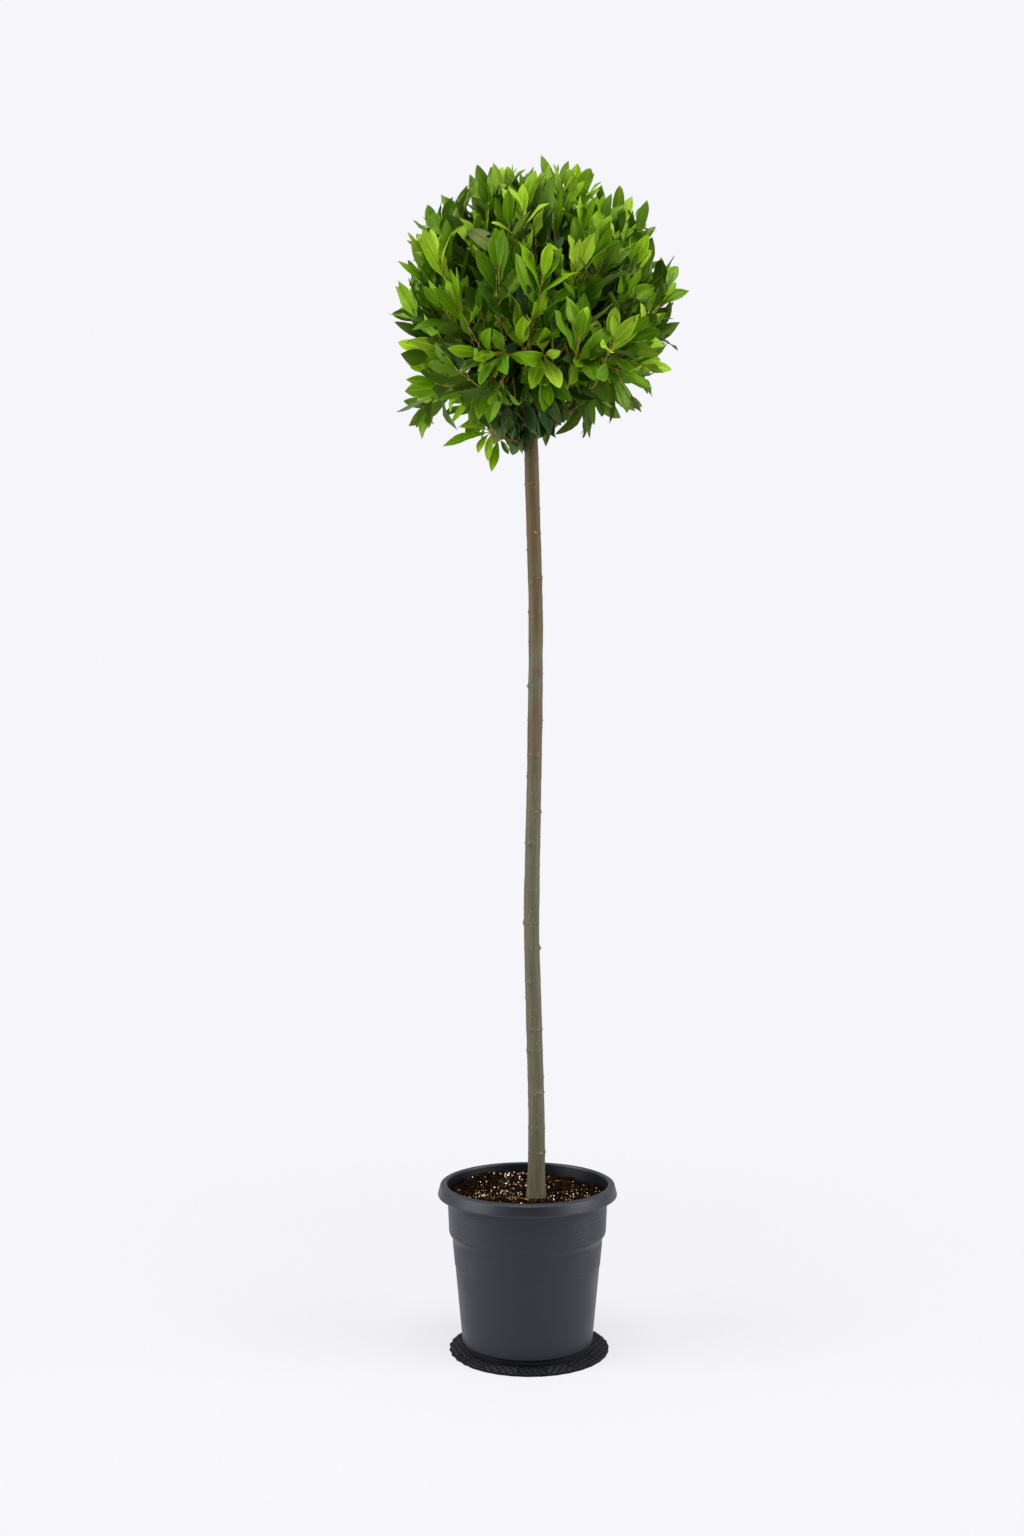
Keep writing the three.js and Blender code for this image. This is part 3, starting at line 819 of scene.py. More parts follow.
def pot_profile(sizes):
    """The pot's outline up its outside, over its lip and down its inside, as rows of radius,
    height and the relief of its ribs, with every corner rounded."""
    low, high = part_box("pot")
    base, rim, lip = low.z, high.z, high.x
    neck, wall = sizes.neck_radius, sizes.wall
    lip_foot = rim - sizes.lip_height
    floor_under, floor_top = base + 3.2 * MM, base + 5.2 * MM

    def on_wall(level, up=0.0):
        """The (radius, height) of the plain wall at a level in millimetres, drawn up a bit."""
        heights = [base + 8 * MM, sizes.collar_foot]
        radius = np.interp(level * MM, heights, [sizes.wall_foot, sizes.wall_top])
        return radius, (level + up) * MM

    foot = [
        (0, floor_under),
        (sizes.foot_radius - 4.5 * MM, floor_under),
        (sizes.foot_radius - 3.5 * MM, base),
        (sizes.foot_radius, base),
        (sizes.foot_radius + 0.4 * MM, base + sizes.foot_height - 1 * MM),
        (sizes.wall_foot - 0.2 * MM, base + sizes.foot_height),
        (sizes.wall_foot, base + sizes.foot_height + 1.5 * MM),
        on_wall(LOWER_RIBS[0] - 2),
    ]
    ends = [on_wall(level) for level in LOWER_RIBS]
    lower = ribbed(*ends, sizes.rib_pitch, sizes.rib_depth)
    step = [
        on_wall(LOWER_RIBS[1], up=0.3),
        (sizes.wall_top, sizes.collar_foot),
        (sizes.collar_radius, sizes.collar_top),
        (sizes.collar_radius + 0.1 * MM, sizes.collar_top + 1 * MM),
    ]
    ends = [
        (sizes.collar_radius + 0.1 * MM, sizes.collar_top + 1.5 * MM),
        (neck - 0.4 * MM, UPPER_RIBS_TOP * MM),
    ]
    upper = ribbed(*ends, sizes.rib_pitch, sizes.rib_depth)
    over_lip = [
        (neck - 0.35 * MM, (UPPER_RIBS_TOP + 0.4) * MM),
        (neck, lip_foot - 1 * MM),
        (neck + 1 * MM, rim - 6 * MM),
        (neck + 2.4 * MM, rim - 2.8 * MM),
        (lip - 4.4 * MM, rim - 3.6 * MM),
        (lip - 1.8 * MM, lip_foot + 0.5 * MM),
        (lip - 1.2 * MM, lip_foot),
        (lip - 0.2 * MM, lip_foot + 0.2 * MM),
        (lip, lip_foot + 1.2 * MM),
        (lip - 2.4 * MM, rim - 1.5 * MM),
        (lip - 3.4 * MM, rim - 0.7 * MM),
        (lip - 6.6 * MM, rim - 0.5 * MM),
        (lip - 7.0 * MM, rim),
        (lip - 8.2 * MM, rim),
        (lip - 8.9 * MM, rim - 1.2 * MM),
    ]
    inside = [
        (neck - wall, lip_foot - 1 * MM),
        (sizes.collar_radius - wall, sizes.collar_top + 1 * MM),
        (sizes.wall_top - wall, sizes.collar_foot + 1 * MM),
        (sizes.wall_foot - wall, base + 8.2 * MM),
        (sizes.wall_foot - wall - 1 * MM, floor_top),
        (0, floor_top),
    ]
    parts = [
        rounded(foot, 1.2 * MM),
        lower,
        rounded(step, 0.4 * MM),
        upper,
        rounded(over_lip + inside, 0.7 * MM),
    ]
    return np.concatenate([np.pad(part, ((0, 0), (0, 3 - part.shape[1]))) for part in parts])


def build_pot(sizes):
    """The pot: its outline turned about its axis, with its ribs deepest at the sides. Its painted
    light attribute is 1 on the edges, a painted highlight where they catch the light, positive on
    the ribs' crests, a painted highlight, and negative in the ribs' grooves, on the lip's outer
    face and down inside, painted shade; a little below the rim inside, a duller material with less
    shine takes over, which paints shade there too."""
    _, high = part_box("pot")
    rim, lip = high.z, high.x
    lip_foot = rim - sizes.lip_height
    radius, height, rib = pot_profile(sizes).T
    segments = 240
    sideways = 0.2 + 0.8 * smooth_rise(np.abs(round_angles(segments)[1][:, 0]), 0.45, 0.9)
    top_row = height.argmax()
    shape = Shape()
    turned(
        shape,
        np.column_stack([radius, height]),
        segments,
        relief=rib[1:-1, None] * sideways,
        inner_from=top_row + SHADE_PAINTED_FROM,
    )
    satin = moulded_plastic("Polypropylene, injection moulded", sizes.plastic, 0.42)
    # Below the rim inside, a duller material with less shine paints shade on the inner wall.
    shade_painted_wall = moulded_plastic("Polypropylene, moulded, painted shade inside", sizes.plastic, 0.1)
    pot = shape.piece("nursery_pot", [satin, shade_painted_wall], "pot_plastic", ["pot"])

    inward = np.arange(len(height)) > top_row + INWARD_FROM
    # Painted shade down the inner wall, from about 3 mm below the rim.
    painted_inner_shade = 1.5 * inward * smooth_rise(rim - height, 0.6 * MM, 3.2 * MM)
    # Painted highlights: thin light lines along the lip's foot, its inner top edge and its outer
    # top corner.
    edges = [
        (lip, lip_foot + 0.7 * MM, 0.9 * MM),
        (lip - 7.6 * MM, rim, 0.7 * MM),
        (lip - 2.9 * MM, rim - 1.1 * MM, 0.8 * MM),
    ]
    apart = [np.hypot(radius - r, height - z) / width for r, z, width in edges]
    painted_edge_highlight = np.exp(-(np.min(apart, axis=0) ** 2))
    # Painted shade on the lip's outer face, away from its highlights.
    painted_lip_shade = 0.5 * (radius > lip - 3.2 * MM) * (1 - painted_edge_highlight)
    # Painted highlights on the ribs' crests and painted shade in their grooves, strongest at the
    # sides.
    painted_rib_light = np.where(rib > 0, 1.4 * rib / sizes.rib_depth - 0.7, 0)
    # The sum is the painted light and shade that the plastic reads to lighten or darken its colour.
    painted_light = (painted_edge_highlight - painted_inner_shade - painted_lip_shade)[:, None] + painted_rib_light[:, None] * sideways
    keep_values(pot, "painted_light", np.concatenate([painted_light[1:-1].ravel(), painted_light[[0, -1], 0]]))


# ------------------------------------------------------------------ compost


def compost_height(flat, sizes):
    """The compost's height over (x, y) places: the level, rolling lumps from noise, a rise
    towards the back left, and a level patch round the stem."""
    places = np.concatenate([flat, np.zeros((*flat.shape[:-1], 1))], -1)
    lumps = 0.65 * noise(places, 18 * MM, 1) + 0.35 * noise(places, 8 * MM, 2)
    from_stem = np.linalg.norm(flat - STEM_CENTRES[0, :2], axis=-1)
    away = smooth_rise(from_stem, 11 * MM, 26 * MM)
    back = smooth_rise(flat @ [-0.45, 0.9], -22 * MM, 60 * MM)
    return COMPOST_LEVEL + away * (sizes.lumps * lumps + sizes.back_rise * back)


def build_compost(sizes):
    """The compost: a solid that fills the pot, its top a fine grid of rings raised by the
    lumps and by crumbs of noise; then loose crumbs, pale bark chips, perlite and its fines."""
    rng = np.random.default_rng(sizes.seed)
    low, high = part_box("compost")
    edge = high.x
    segments = 300
    circle = round_angles(segments)[1]
    rings = np.linspace(edge - 0.3 * MM, 1.2 * MM, 88)
    flat = rings[:, None, None] * circle[None]
    places = np.concatenate([flat, np.zeros((*flat.shape[:-1], 1))], -1)
    crumbs = 0.9 * MM * noise(places, 3.2 * MM, 5) + 0.5 * MM * noise(places, 1.4 * MM, 6)
    height = compost_height(flat, sizes) + crumbs
    wall = [(edge - 14 * MM, low.z), (edge - 13 * MM, low.z + 3 * MM), (edge - 0.5 * MM, 135 * MM)]
    side = [np.column_stack([r * circle, np.full(segments, z)]) for r, z in wall]
    top = [np.column_stack([flat[k], height[k]]) for k in range(len(rings))]
    poles = [[0, 0, low.z], [0, 0, height[-1].mean()]]
    shape = Shape()
    stacked_rings(shape, np.concatenate(side + top), poles, segments)
    earth = compost_earth(["080502", "120b06", "1e140b", "2e2217"])
    shape.piece("compost_bed", [earth], "compost", ["compost"])

    def scattered(count, reach=2.0 * MM):
        """Places on the compost at random, clear of the wall and the stem."""
        radius = (edge - reach) * np.sqrt(rng.uniform(0, 1, count * 2))
        turn = rng.uniform(0, 2 * np.pi, count * 2)
        spots = np.column_stack([radius * np.cos(turn), radius * np.sin(turn)])
        clear = np.linalg.norm(spots - STEM_CENTRES[0, :2], axis=1) > STEM_RADII[0] + 1.5 * MM
        spots = spots[clear][:count]
        return np.column_stack([spots, compost_height(spots, sizes)])

    def drifted(count, drifts, spread):
        """Places round a few spots at random, as fine stuff gathers in hollows."""
        middles = scattered(drifts, 10 * MM)[rng.integers(0, drifts, count), :2]
        near = middles + rng.normal(0, spread, (count, 2))
        from_stem = np.linalg.norm(near - STEM_CENTRES[0, :2], axis=1)
        inside = np.linalg.norm(near, axis=1) < edge - 3 * MM
        near = near[inside & (from_stem > STEM_RADII[0] + 2 * MM)]
        return np.column_stack([near, compost_height(near, sizes)])

    def add_grains(name, spots, half, shares, roughness, material):
        """Adds one kind of grain at places, its half lengths given as a range in millimetres
        and its three sizes as shares of that."""
        long = rng.uniform(*half, (len(spots), 1)) * MM
        lumpy = long * np.array([shares]) * rng.uniform(0.7, 1.1, (len(spots), 3))
        sunk = spots + [0, 0, 1] * lumpy.min(axis=1, keepdims=True) * 0.6
        shape = Shape()
        grains(shape, sunk, lumpy, rng, roughness)
        shape.piece(name, [material], "compost")

    peat = twig_bark("Peat crumbs", ["0b0704", "150d07", "24170d", "3f2d17"], 0.0, 4 * MM)
    spots = scattered(sizes.crumbs)
    add_grains("compost_crumbs", spots, (0.3, 1.2), (1.0, 0.8, 0.7), 0.3, peat)
    fines = twig_bark("Pine bark fines", ["5b3f1d", "9a7440", "c6a06a"], 0.1, 4 * MM)
    spots = scattered(sizes.chips, 4 * MM)
    add_grains("bark_chips", spots, (0.7, 2.4), (0.35, 0.45, 1.0), 0.25, fines)
    # Perlite is puffed volcanic glass: matt, nearly white, dirtier where it is finest.
    white = plain_plant("Expanded perlite", linear("fbf3e2"), 0.9)
    loose = scattered(sizes.perlite // 2, 3 * MM)
    spots = np.concatenate([loose, drifted(sizes.perlite - len(loose), 9, 5.5 * MM)])
    add_grains("perlite_grains", spots, (0.65, 1.5), (0.5, 0.55, 1.15), 0.2, white)
    pale = plain_plant("Perlite fines, stained", linear("c4a671"), 0.9)
    spots = drifted(sizes.grit, 14, 6.5 * MM)
    add_grains("pale_grit", spots, (0.3, 0.75), (0.8, 0.8, 1.0), 0.25, pale)


# ------------------------------------------------------------------ stem


def knots(sizes):
    """Heights and angles of the leaf scars up the stem, each a random step above the last and
    turned on by about the golden angle."""
    rng = np.random.default_rng(sizes.seed)
    most = 60
    steps = rng.uniform(0.55, 1.45, most) * sizes.knot_spacing
    heights = STEM_LEVELS[0] + 10 * MM + np.cumsum(steps)
    heights = heights[heights < STEM_LEVELS[-1] - 20 * MM]
    turns = np.arange(len(heights)) * GOLDEN_ANGLE + rng.normal(0, 0.3, len(heights))
    return heights, turns % (2 * np.pi), rng.uniform(0.35, 1.0, len(heights))


def stem_middle(height):
    """The stem's centre at heights; beyond its ends it goes straight up or down."""
    x, y = (np.interp(height, STEM_LEVELS, STEM_CENTRES[:, k]) for k in (0, 1))
    return np.stack([x, y, height], -1)


def stem_surface(height, angle, sizes):
    """Places on the stem's bark: its centre plus its radius at an angle. The radius is the
    frame's, with slow noise, a low ring and a boss at each leaf scar, and fine ridges."""
    scars, turns, strength = knots(sizes)
    radius = np.interp(height, STEM_LEVELS, STEM_RADII) + 0.1 * MM
    around = np.stack([np.cos(angle), np.sin(angle), np.zeros_like(angle)], -1)
    middle = stem_middle(height)
    bare = middle + radius[..., None] * around
    off = (height[..., None] - scars) / MM
    turn = (angle[..., None] - turns + np.pi) % (2 * np.pi) - np.pi
    ring = strength * sizes.ring_height * np.exp(-((off / 1.3) ** 2))
    boss = strength * sizes.knot_height * np.exp(-((off / 2.6) ** 2) - (turn / 0.34) ** 2)
    dimple = 0.5 * strength * sizes.knot_height * np.exp(-((off / 1.0) ** 2) - (turn / 0.13) ** 2)
    stretched = bare * [1, 1, 0.12]
    relief = (
        sizes.waviness * noise(bare, 34 * MM, 8)
        + 0.16 * MM * noise(bare, 9 * MM, 9)
        + 0.07 * MM * noise(stretched, 1.5 * MM, 10)
    )
    return bare + (relief + (ring + boss - dimple).sum(axis=-1))[..., None] * around


def frame_boughs():
    """Foot and tip of the leader and of each bough of the frame, the spray's last: the foot is
    its end at the stem, and the tip is where it enters the crown."""
    feet, tips = [], []
    for node in ("leader", *BOUGHS, "spray_bough"):
        points = node_points(node)
        from_stem = np.linalg.norm(points[:, :2] - stem_middle(points[:, 2])[:, :2], axis=1)
        order = np.argsort(from_stem if node != "leader" else points[:, 2])
        feet.append(points[order[:8]].mean(axis=0))
        tips.append(points[order[-8:]].mean(axis=0))
    return np.array(feet), np.array(tips)


# The bark's three colours, and the shares of the way up the stem between which they change:
# grey-green with a brown stretch in it, and golden brown under the crown.
GREY_GREEN, BROWN, GOLDEN_BROWN = "575441", "574a36", "55472b"
BARK_ZONES = [
    (0.6, GREY_GREEN),
    (0.66, BROWN),
    (0.72, BROWN),
    (0.75, GREY_GREEN),
    (0.86, GOLDEN_BROWN),
]


def build_stem(sizes):
    """The stem from just under the compost to its tip, as rings round its centre. On it lie
    thin grains: a boss with five short dashes beside it at each leaf scar, and pores."""
    rng = np.random.default_rng(sizes.seed + 1)
    heights = np.linspace(STEM_LEVELS[0] - 2.5 * MM, STEM_LEVELS[-1], 960)
    angles, _ = round_angles(60)
    grid = np.meshgrid(heights, angles, indexing="ij")
    surface = stem_surface(*grid, sizes).reshape(-1, 3)
    shape = Shape()
    stacked_rings(shape, surface, stem_middle(heights[[0, -1]]), len(angles))
    shape.piece("stem_bark", [stem_bark(BARK_ZONES)], "stem_bark", ["stem"])

    scars, turns, strength = knots(sizes)
    spots = stem_surface(scars, turns, sizes)
    long = (0.4 + 0.6 * strength[:, None]) * np.array([[1.2, 1.2, 1.0]]) * MM
    scar_shape = Shape()
    grains(scar_shape, spots, long, rng, 0.2, turn=False)
    each = 5
    beside = np.repeat(turns, each) + rng.uniform(-1.5, 1.5, len(turns) * each)
    level = np.repeat(scars, each) + rng.normal(0, 0.5 * MM, len(scars) * each)
    dashes = rng.uniform(0.35, 0.75, (len(level), 1)) * np.array([[1.6, 1.6, 0.6]]) * MM
    grains(scar_shape, stem_surface(level, beside, sizes), dashes, rng, 0.2, turn=False)
    scar = twig_bark("Leaf scars", ["6a4722", "a3743c", "cda564"], 0.2, 3 * MM)
    scar_shape.piece("leaf_scars", [scar], "stem_bark")

    pores = rng.uniform(STEM_LEVELS[0] + 4 * MM, STEM_LEVELS[-1] - 20 * MM, 420)
    spots = stem_surface(pores, rng.uniform(0, 2 * np.pi, len(pores)), sizes)
    long = rng.uniform(0.25, 0.6, (len(pores), 1)) * np.array([[1, 1, 1.3]]) * MM
    pore_shape = Shape()
    grains(pore_shape, spots, long, rng, 0.2, turn=False)
    pore = plain_plant("Bark pores", linear("97874f"), 0.8)
    pore_shape.piece("bark_pores", [pore], "stem_bark")


# ------------------------------------------------------------------ crown


def bezier(a, b, c, d, steps):
    """Points along cubic curves from a to d with handles b and c, one curve a row."""
    t = np.linspace(0, 1, steps)[None, :, None]
    a, b, c, d = (end[:, None] for end in (a, b, c, d))
    return (1 - t) ** 3 * a + 3 * (1 - t) ** 2 * t * b + 3 * (1 - t) * t**2 * c + t**3 * d


class Crown:
    """The clipped ball: its centre, half sizes and outline, taken from the frame's masses."""

    def __init__(self, sizes):
        low, high = whole_box("crown", "skirt")
        self.centre = (low + high) / 2
        self.half = (high - low) / 2
        self.powers = (sizes.squareness_foot, sizes.squareness_top)

    def fullness(self, places):
        """0 at the centre and 1 at the clipped surface: (flat^n + height^n)^(1/n) of the place
        in half sizes, with n for the upper or the lower half."""
        x, y, z = np.moveaxis((places - self.centre) / self.half, -1, 0)
        power = np.where(z > 0, self.powers[1], self.powers[0])
        return (np.hypot(x, y) ** power + np.abs(z) ** power) ** (1 / power)

    def reach(self, directions):
        """Distance from the centre to the clipped surface in each direction."""
        return 1 / self.fullness(self.centre + directions)


def growing_way(outward, rng):
    """The way a shoot grows at a place on the ball: outwards, and upwards over most of it, but
    level and then drooping underneath. Shoots at the sides lean out more than those in front."""
    lift = np.interp(
        outward[:, 2],
        [-1, -0.75, -0.55, -0.35, 0.1, 0.5, 1],
        [-0.3, 0.0, 0.5, 1.3, 2.1, 2.3, 1.6],
    )
    lift = lift * (1 - 0.3 * outward[:, 0] ** 2) + rng.normal(0, 0.14, len(outward))
    return unit(outward + lift[:, None] * UP + rng.normal(0, 0.17, outward.shape))


def grow_branches(sizes, crown, rng):
    """The boughs carried on into the ball, and the branches that leave them: each branch goes
    to an evenly spread place inside, from the bough whose end is nearest. The spray's bough
    isn't one of them."""
    feet, tips = (ends[:-1] for ends in frame_boughs())
    heading = unit(tips - feet)
    ends = crown.centre + unit(heading * [1, 1, 0.7] + [0, 0, 0.02]) * crown.half * 0.52
    ends[0] = crown.centre + crown.half * [0.05, 0.02, 0.5]
    boughs = bezier(feet, feet + (tips - feet) * 0.9, tips + heading * 30 * MM, ends, 14)
    aims = spiral_directions(sizes.branches, rng, 0.9)
    inside = rng.uniform(0.58, 0.7, sizes.branches)
    targets = crown.centre + aims * (crown.reach(aims) * inside)[:, None]
    gaps = np.linalg.norm(targets[:, None] - ends[None], axis=-1)
    parent = gaps.argmin(axis=1)
    last = boughs.shape[1] - 1
    step = rng.integers(5, last + 1, sizes.branches)
    starts = boughs[parent, step]
    onward = unit(boughs[parent, np.minimum(step + 1, last)] - boughs[parent, step - 1])
    span = np.linalg.norm(targets - starts, axis=1)[:, None]
    before = targets - aims * span * 0.35
    return boughs, bezier(starts, starts + onward * span * 0.3, before, targets, 10)


# Where the shears left the ball fuller or flatter: degrees round it seen from the front, from
# the right over the top, and the share of its reach added there, over CLIP_SPAN degrees.
CLIP_SPAN = 11
UNEVEN_CLIP = [
    (28, -0.17),
    (40, 0.18),
    (54, -0.28),
    (71, 0.13),
    (88, -0.14),
    (101, 0.04),
    (110, 0.01),
    (130, -0.25),
    (143, 0.09),
    (153, -0.05),
    (174, -0.05),
    (208, -0.14),
    (227, 0.13),
    (258, -0.1),
    (287, -0.16),
    (300, -0.09),
    (316, 0.07),
    (331, -0.08),
    (353, 0.08),
]


def grow_shoots(sizes, crown, branches, rng):
    """The leafy shoots: evenly spread over the ball apart from where the stem comes in, each
    growing its own way. Its tip is moved in or out until its furthest leaf just reaches the
    clipped surface, give or take what the shears left, and its foot is joined to the nearest
    branch."""
    outward = spiral_directions(sizes.shoots, rng, 1.1)
    stem_here = stem_middle(np.array([crown.centre[2] - crown.half[2]]))[0]
    under = unit(stem_here - crown.centre)
    outward = outward[(outward * under).sum(axis=1) < math.cos(math.radians(12))]
    axis = growing_way(outward, rng)
    count = len(outward)
    target = rng.normal(0.99, 0.065, count).clip(0.8, 1.08)
    target = target + np.interp(
        outward[:, 2],
        [-0.98, -0.75, -0.5, -0.2, 0.1, 0.35, 0.64, 0.85, 1],
        [-0.19, -0.07, -0.04, -0.03, -0.03, -0.03, 0.04, 0.0, 0.03],
    )
    turn = np.degrees(np.arctan2(outward[:, 2], outward[:, 0]))
    side_on = np.exp(-((outward[:, 1] / 0.6) ** 2))
    for middle, more in UNEVEN_CLIP:
        apart = (turn - middle + 180) % 360 - 180
        target = target + more * side_on * np.exp(-((apart / CLIP_SPAN) ** 2))
    tips = crown.centre + outward * (crown.reach(outward) * 0.8)[:, None]
    leaf_sets = leaf_places(sizes, outward, axis, rng)
    for _ in range(6):
        blades = leaf_sets["along"] * leaf_sets["length"][..., None]
        furthest = crown.fullness(tips[:, None] + leaf_sets["foot"] + blades).max(axis=1)
        tips = tips + outward * ((target - furthest) * crown.reach(outward))[:, None] * 0.8
    bases = tips + leaf_sets["foot"][:, -1]
    gaps = np.linalg.norm(bases[:, None] - branches[None, :, -1], axis=-1)
    parent = gaps.argmin(axis=1)
    step = rng.integers(4, 10, count)
    starts = branches[parent, step]
    onward = unit(branches[parent, step] - branches[parent, step - 1])
    span = np.linalg.norm(bases - starts, axis=1)[:, None]
    curve = bezier(starts, starts + onward * span * 0.35, bases - axis * span * 0.4, bases, 8)
    straight = np.linspace(0, 1, 5)[None, 1:, None]
    paths = np.concatenate([curve, bases[:, None] + (tips - bases)[:, None] * straight], 1)
    return outward, tips, paths, leaf_sets


def leaf_places(sizes, outward, axis, rng):
    """Where leaves sit on shoots that grow along axis, from the tip back: each is turned on by
    the golden angle, opens wider and grows longer further back, turns along the ball's surface
    by the share that spreading says, most in front and behind, and rolls on its stalk to face
    outwards and up to the light. Places are from the tip."""
    count, each = len(axis), sizes.leaves
    order = np.arange(each)[None] + rng.uniform(-0.2, 0.2, (count, each))
    back = (1.0 + 4.0 * order + 0.25 * order**2) * MM * rng.uniform(0.85, 1.15, (count, 1))
    turn = order * GOLDEN_ANGLE + rng.uniform(0, 2 * np.pi, (count, 1))
    opening = np.radians(np.interp(order, [0, 1, 3, 6, 10], [8, 15, 26, 38, 52]))
    opening = opening * np.interp(outward[:, 2], [-0.5, 0.0], [1.1, 0.85])[:, None]
    opening = opening + rng.normal(0, 0.13, (count, each))
    across = square_to(axis, np.roll(axis, 1, axis=1) + 0.1)[:, None]
    beside = np.cross(axis[:, None], across)
    radial = np.cos(turn)[..., None] * across + np.sin(turn)[..., None] * beside
    along = np.cos(opening)[..., None] * axis[:, None] + np.sin(opening)[..., None] * radial
    facing = np.sin(opening)[..., None] * axis[:, None] - np.cos(opening)[..., None] * radial
    level = (outward * [1, 1, 0])[:, None]
    spreading = sizes.spreading * (0.25 + 0.75 * np.abs(outward[:, 1]))[:, None, None]
    along = unit(along - spreading * (along * level).sum(axis=-1, keepdims=True) * level)
    light = unit(outward + 0.35 * UP)[:, None]
    facing = square_to(along, facing + sizes.light_seeking * light)
    growth = np.interp(order, [0, 1, 3, 6, 10], [0.58, 0.78, 0.98, 1.0, 0.86])
    growth = growth * np.interp(outward[:, 2], [-0.4, 0.0], [1.08, 1.0])[:, None]
    length = sizes.leaf_length * growth * rng.normal(1, 0.1, (count, each))
    stalk = (5 * MM) * along
    foot = -axis[:, None] * back[..., None] + stalk
    return {
        "foot": foot,
        "root": foot - stalk,
        "along": along,
        "facing": facing,
        "length": length,
        "order": order,
    }


# A leaf's grid: its rows as shares of its length, closer at both ends, and its columns as
# shares of its half width. The strips at the margins and along the rib have their own lighter
# colour: a pale rib, and paler margins brightened into a painted highlight where the edges
# catch the light.
ROWS = (1 - np.cos(np.pi * np.arange(1, 10) / 10)) / 2
COLUMNS = np.array([-1, -0.9, -0.45, -0.055, 0.055, 0.45, 0.9, 1])
UNDER_COLUMNS = np.array([0.5, 0.055, -0.055, -0.5])


def leaf_faces():
    """The four- and three-cornered faces of one leaf: of its blade, of its rib and margins, and
    of its underside. The vertices are a grid of the upper side, then foot and tip, then a grid
    of the underside, which shares the margins with the upper side, so the leaf is one closed
    thin blade."""
    rows, columns = len(ROWS), len(COLUMNS)
    foot, tip = rows * columns, rows * columns + 1
    upper = np.arange(rows * columns).reshape(rows, columns)
    under = tip + 1 + np.arange(rows * len(UNDER_COLUMNS)).reshape(rows, -1)
    loop = np.column_stack([upper, under, upper[:, 0]]).T
    left, right = loop[:-1], loop[1:]
    quads = np.stack([left[:, :-1], right[:, :-1], right[:, 1:], left[:, 1:]], -1)
    at_foot = np.stack([np.full(len(left), foot), right[:, 0], left[:, 0]], -1)
    at_tip = np.stack([np.full(len(left), tip), left[:, -1], right[:, -1]], -1)
    triangles = np.stack([at_foot, at_tip], 1)
    strips = np.arange(len(left))
    part = np.where(strips % 3 == 0, 1, 2 * (strips >= columns - 1))
    chosen = [part == k for k in range(3)]
    return [(quads[k].reshape(-1, 4), triangles[k].reshape(-1, 3)) for k in chosen]


def add_leaves(shape, foot, along, facing, length, width, rng):
    """Adds laurel leaves. A leaf's half width at share s of its length goes as s^p (1 - s)^q,
    so that it is widest at p / (p + q). It folds up along its rib and flattens towards its
    margins, arches back along an arc, twists, and waves at its margins, each by its own random
    amount."""
    count = len(foot)
    across = np.cross(along, facing)
    low = rng.uniform(0.85, 1.4, (count, 1, 1))
    high = rng.uniform(0.75, 1.2, (count, 1, 1))
    s = ROWS[None, :, None]
    widest = low / (low + high)
    outline = s**low * (1 - s) ** high / (widest**low * (1 - widest) ** high)
    half = 0.5 * (length * width)[:, None, None] * outline
    fold = np.tan(rng.normal(0.3, 0.14, count).clip(-0.05, 0.7))[:, None, None]
    wave = (rng.normal(0, 0.035, count) * length)[:, None, None]
    phase = rng.uniform(0, 2 * np.pi, (count, 1, 2))
    bend = rng.normal(0.35, 0.36, count)[:, None]
    bend = np.where(np.abs(bend) < 1e-3, 1e-3, bend)
    twist = rng.normal(0, 0.3, count)[:, None]

    def frames(share):
        """Middle line, across and facing vectors of every leaf at shares of its length."""
        angle = bend * share
        ahead = np.sin(angle) / bend * length[:, None]
        down = (1 - np.cos(angle)) / bend * length[:, None]
        forth, up = along[:, None], facing[:, None]
        middle = foot[:, None] + ahead[..., None] * forth - down[..., None] * up
        normal = np.sin(angle)[..., None] * forth + np.cos(angle)[..., None] * up
        roll = (twist * (share - 0.2))[..., None]
        side = np.cos(roll) * across[:, None] + np.sin(roll) * normal
        return middle, side, np.cos(roll) * normal - np.sin(roll) * across[:, None]

    middle, side, normal = frames(np.broadcast_to(ROWS, (count, len(ROWS))))

    def blade(columns, sunk):
        """The leaf's surface at columns across it, sunk below its upper side."""
        u = columns[None, None]
        x = half * u
        begun = np.where(u > 0, phase[..., :1], phase[..., 1:])
        ripple = wave * u**2 * np.sin(3 * np.pi * s + begun)
        height = np.abs(x) * fold * (1 - 0.45 * np.abs(u)) + ripple * outline - sunk
        flat = middle[:, :, None] + x[..., None] * side[:, :, None]
        return (flat + height[..., None] * normal[:, :, None]).reshape(count, -1, 3)

    ends, _, _ = frames(np.broadcast_to([0.0, 1.0], (count, 2)))
    vertices = np.concatenate([blade(COLUMNS, 0), ends, blade(UNDER_COLUMNS, 0.3 * MM)], 1)
    first = np.arange(count)[:, None, None] * vertices.shape[1]
    arrays, tags = [], []
    for tag, faces in enumerate(leaf_faces()):
        arrays += [(array[None] + first).reshape(-1, array.shape[1]) for array in faces]
        tags += [tag, tag]
    shape.add(vertices, *arrays, tag=tags)


def sharpen_margins(mesh):
    """Marks the edges round each leaf's margin sharp, so that light doesn't blend from its
    upper side to its underside."""
    grid = len(ROWS) * len(COLUMNS)
    per_leaf = grid + 2 + len(ROWS) * len(UNDER_COLUMNS)
    ends = np.empty(len(mesh.edges) * 2, np.int32)
    mesh.edges.foreach_get("vertices", ends)
    ends = ends.reshape(-1, 2) % per_leaf
    column = ends % len(COLUMNS)
    side = (column == 0) | (column == len(COLUMNS) - 1)
    margin = (ends >= grid) & (ends < grid + 2) | (ends < grid) & side
    sharp = mesh.attributes.new("sharp_edge", "BOOLEAN", "EDGE")
    sharp.data.foreach_set("value", margin.all(axis=1))


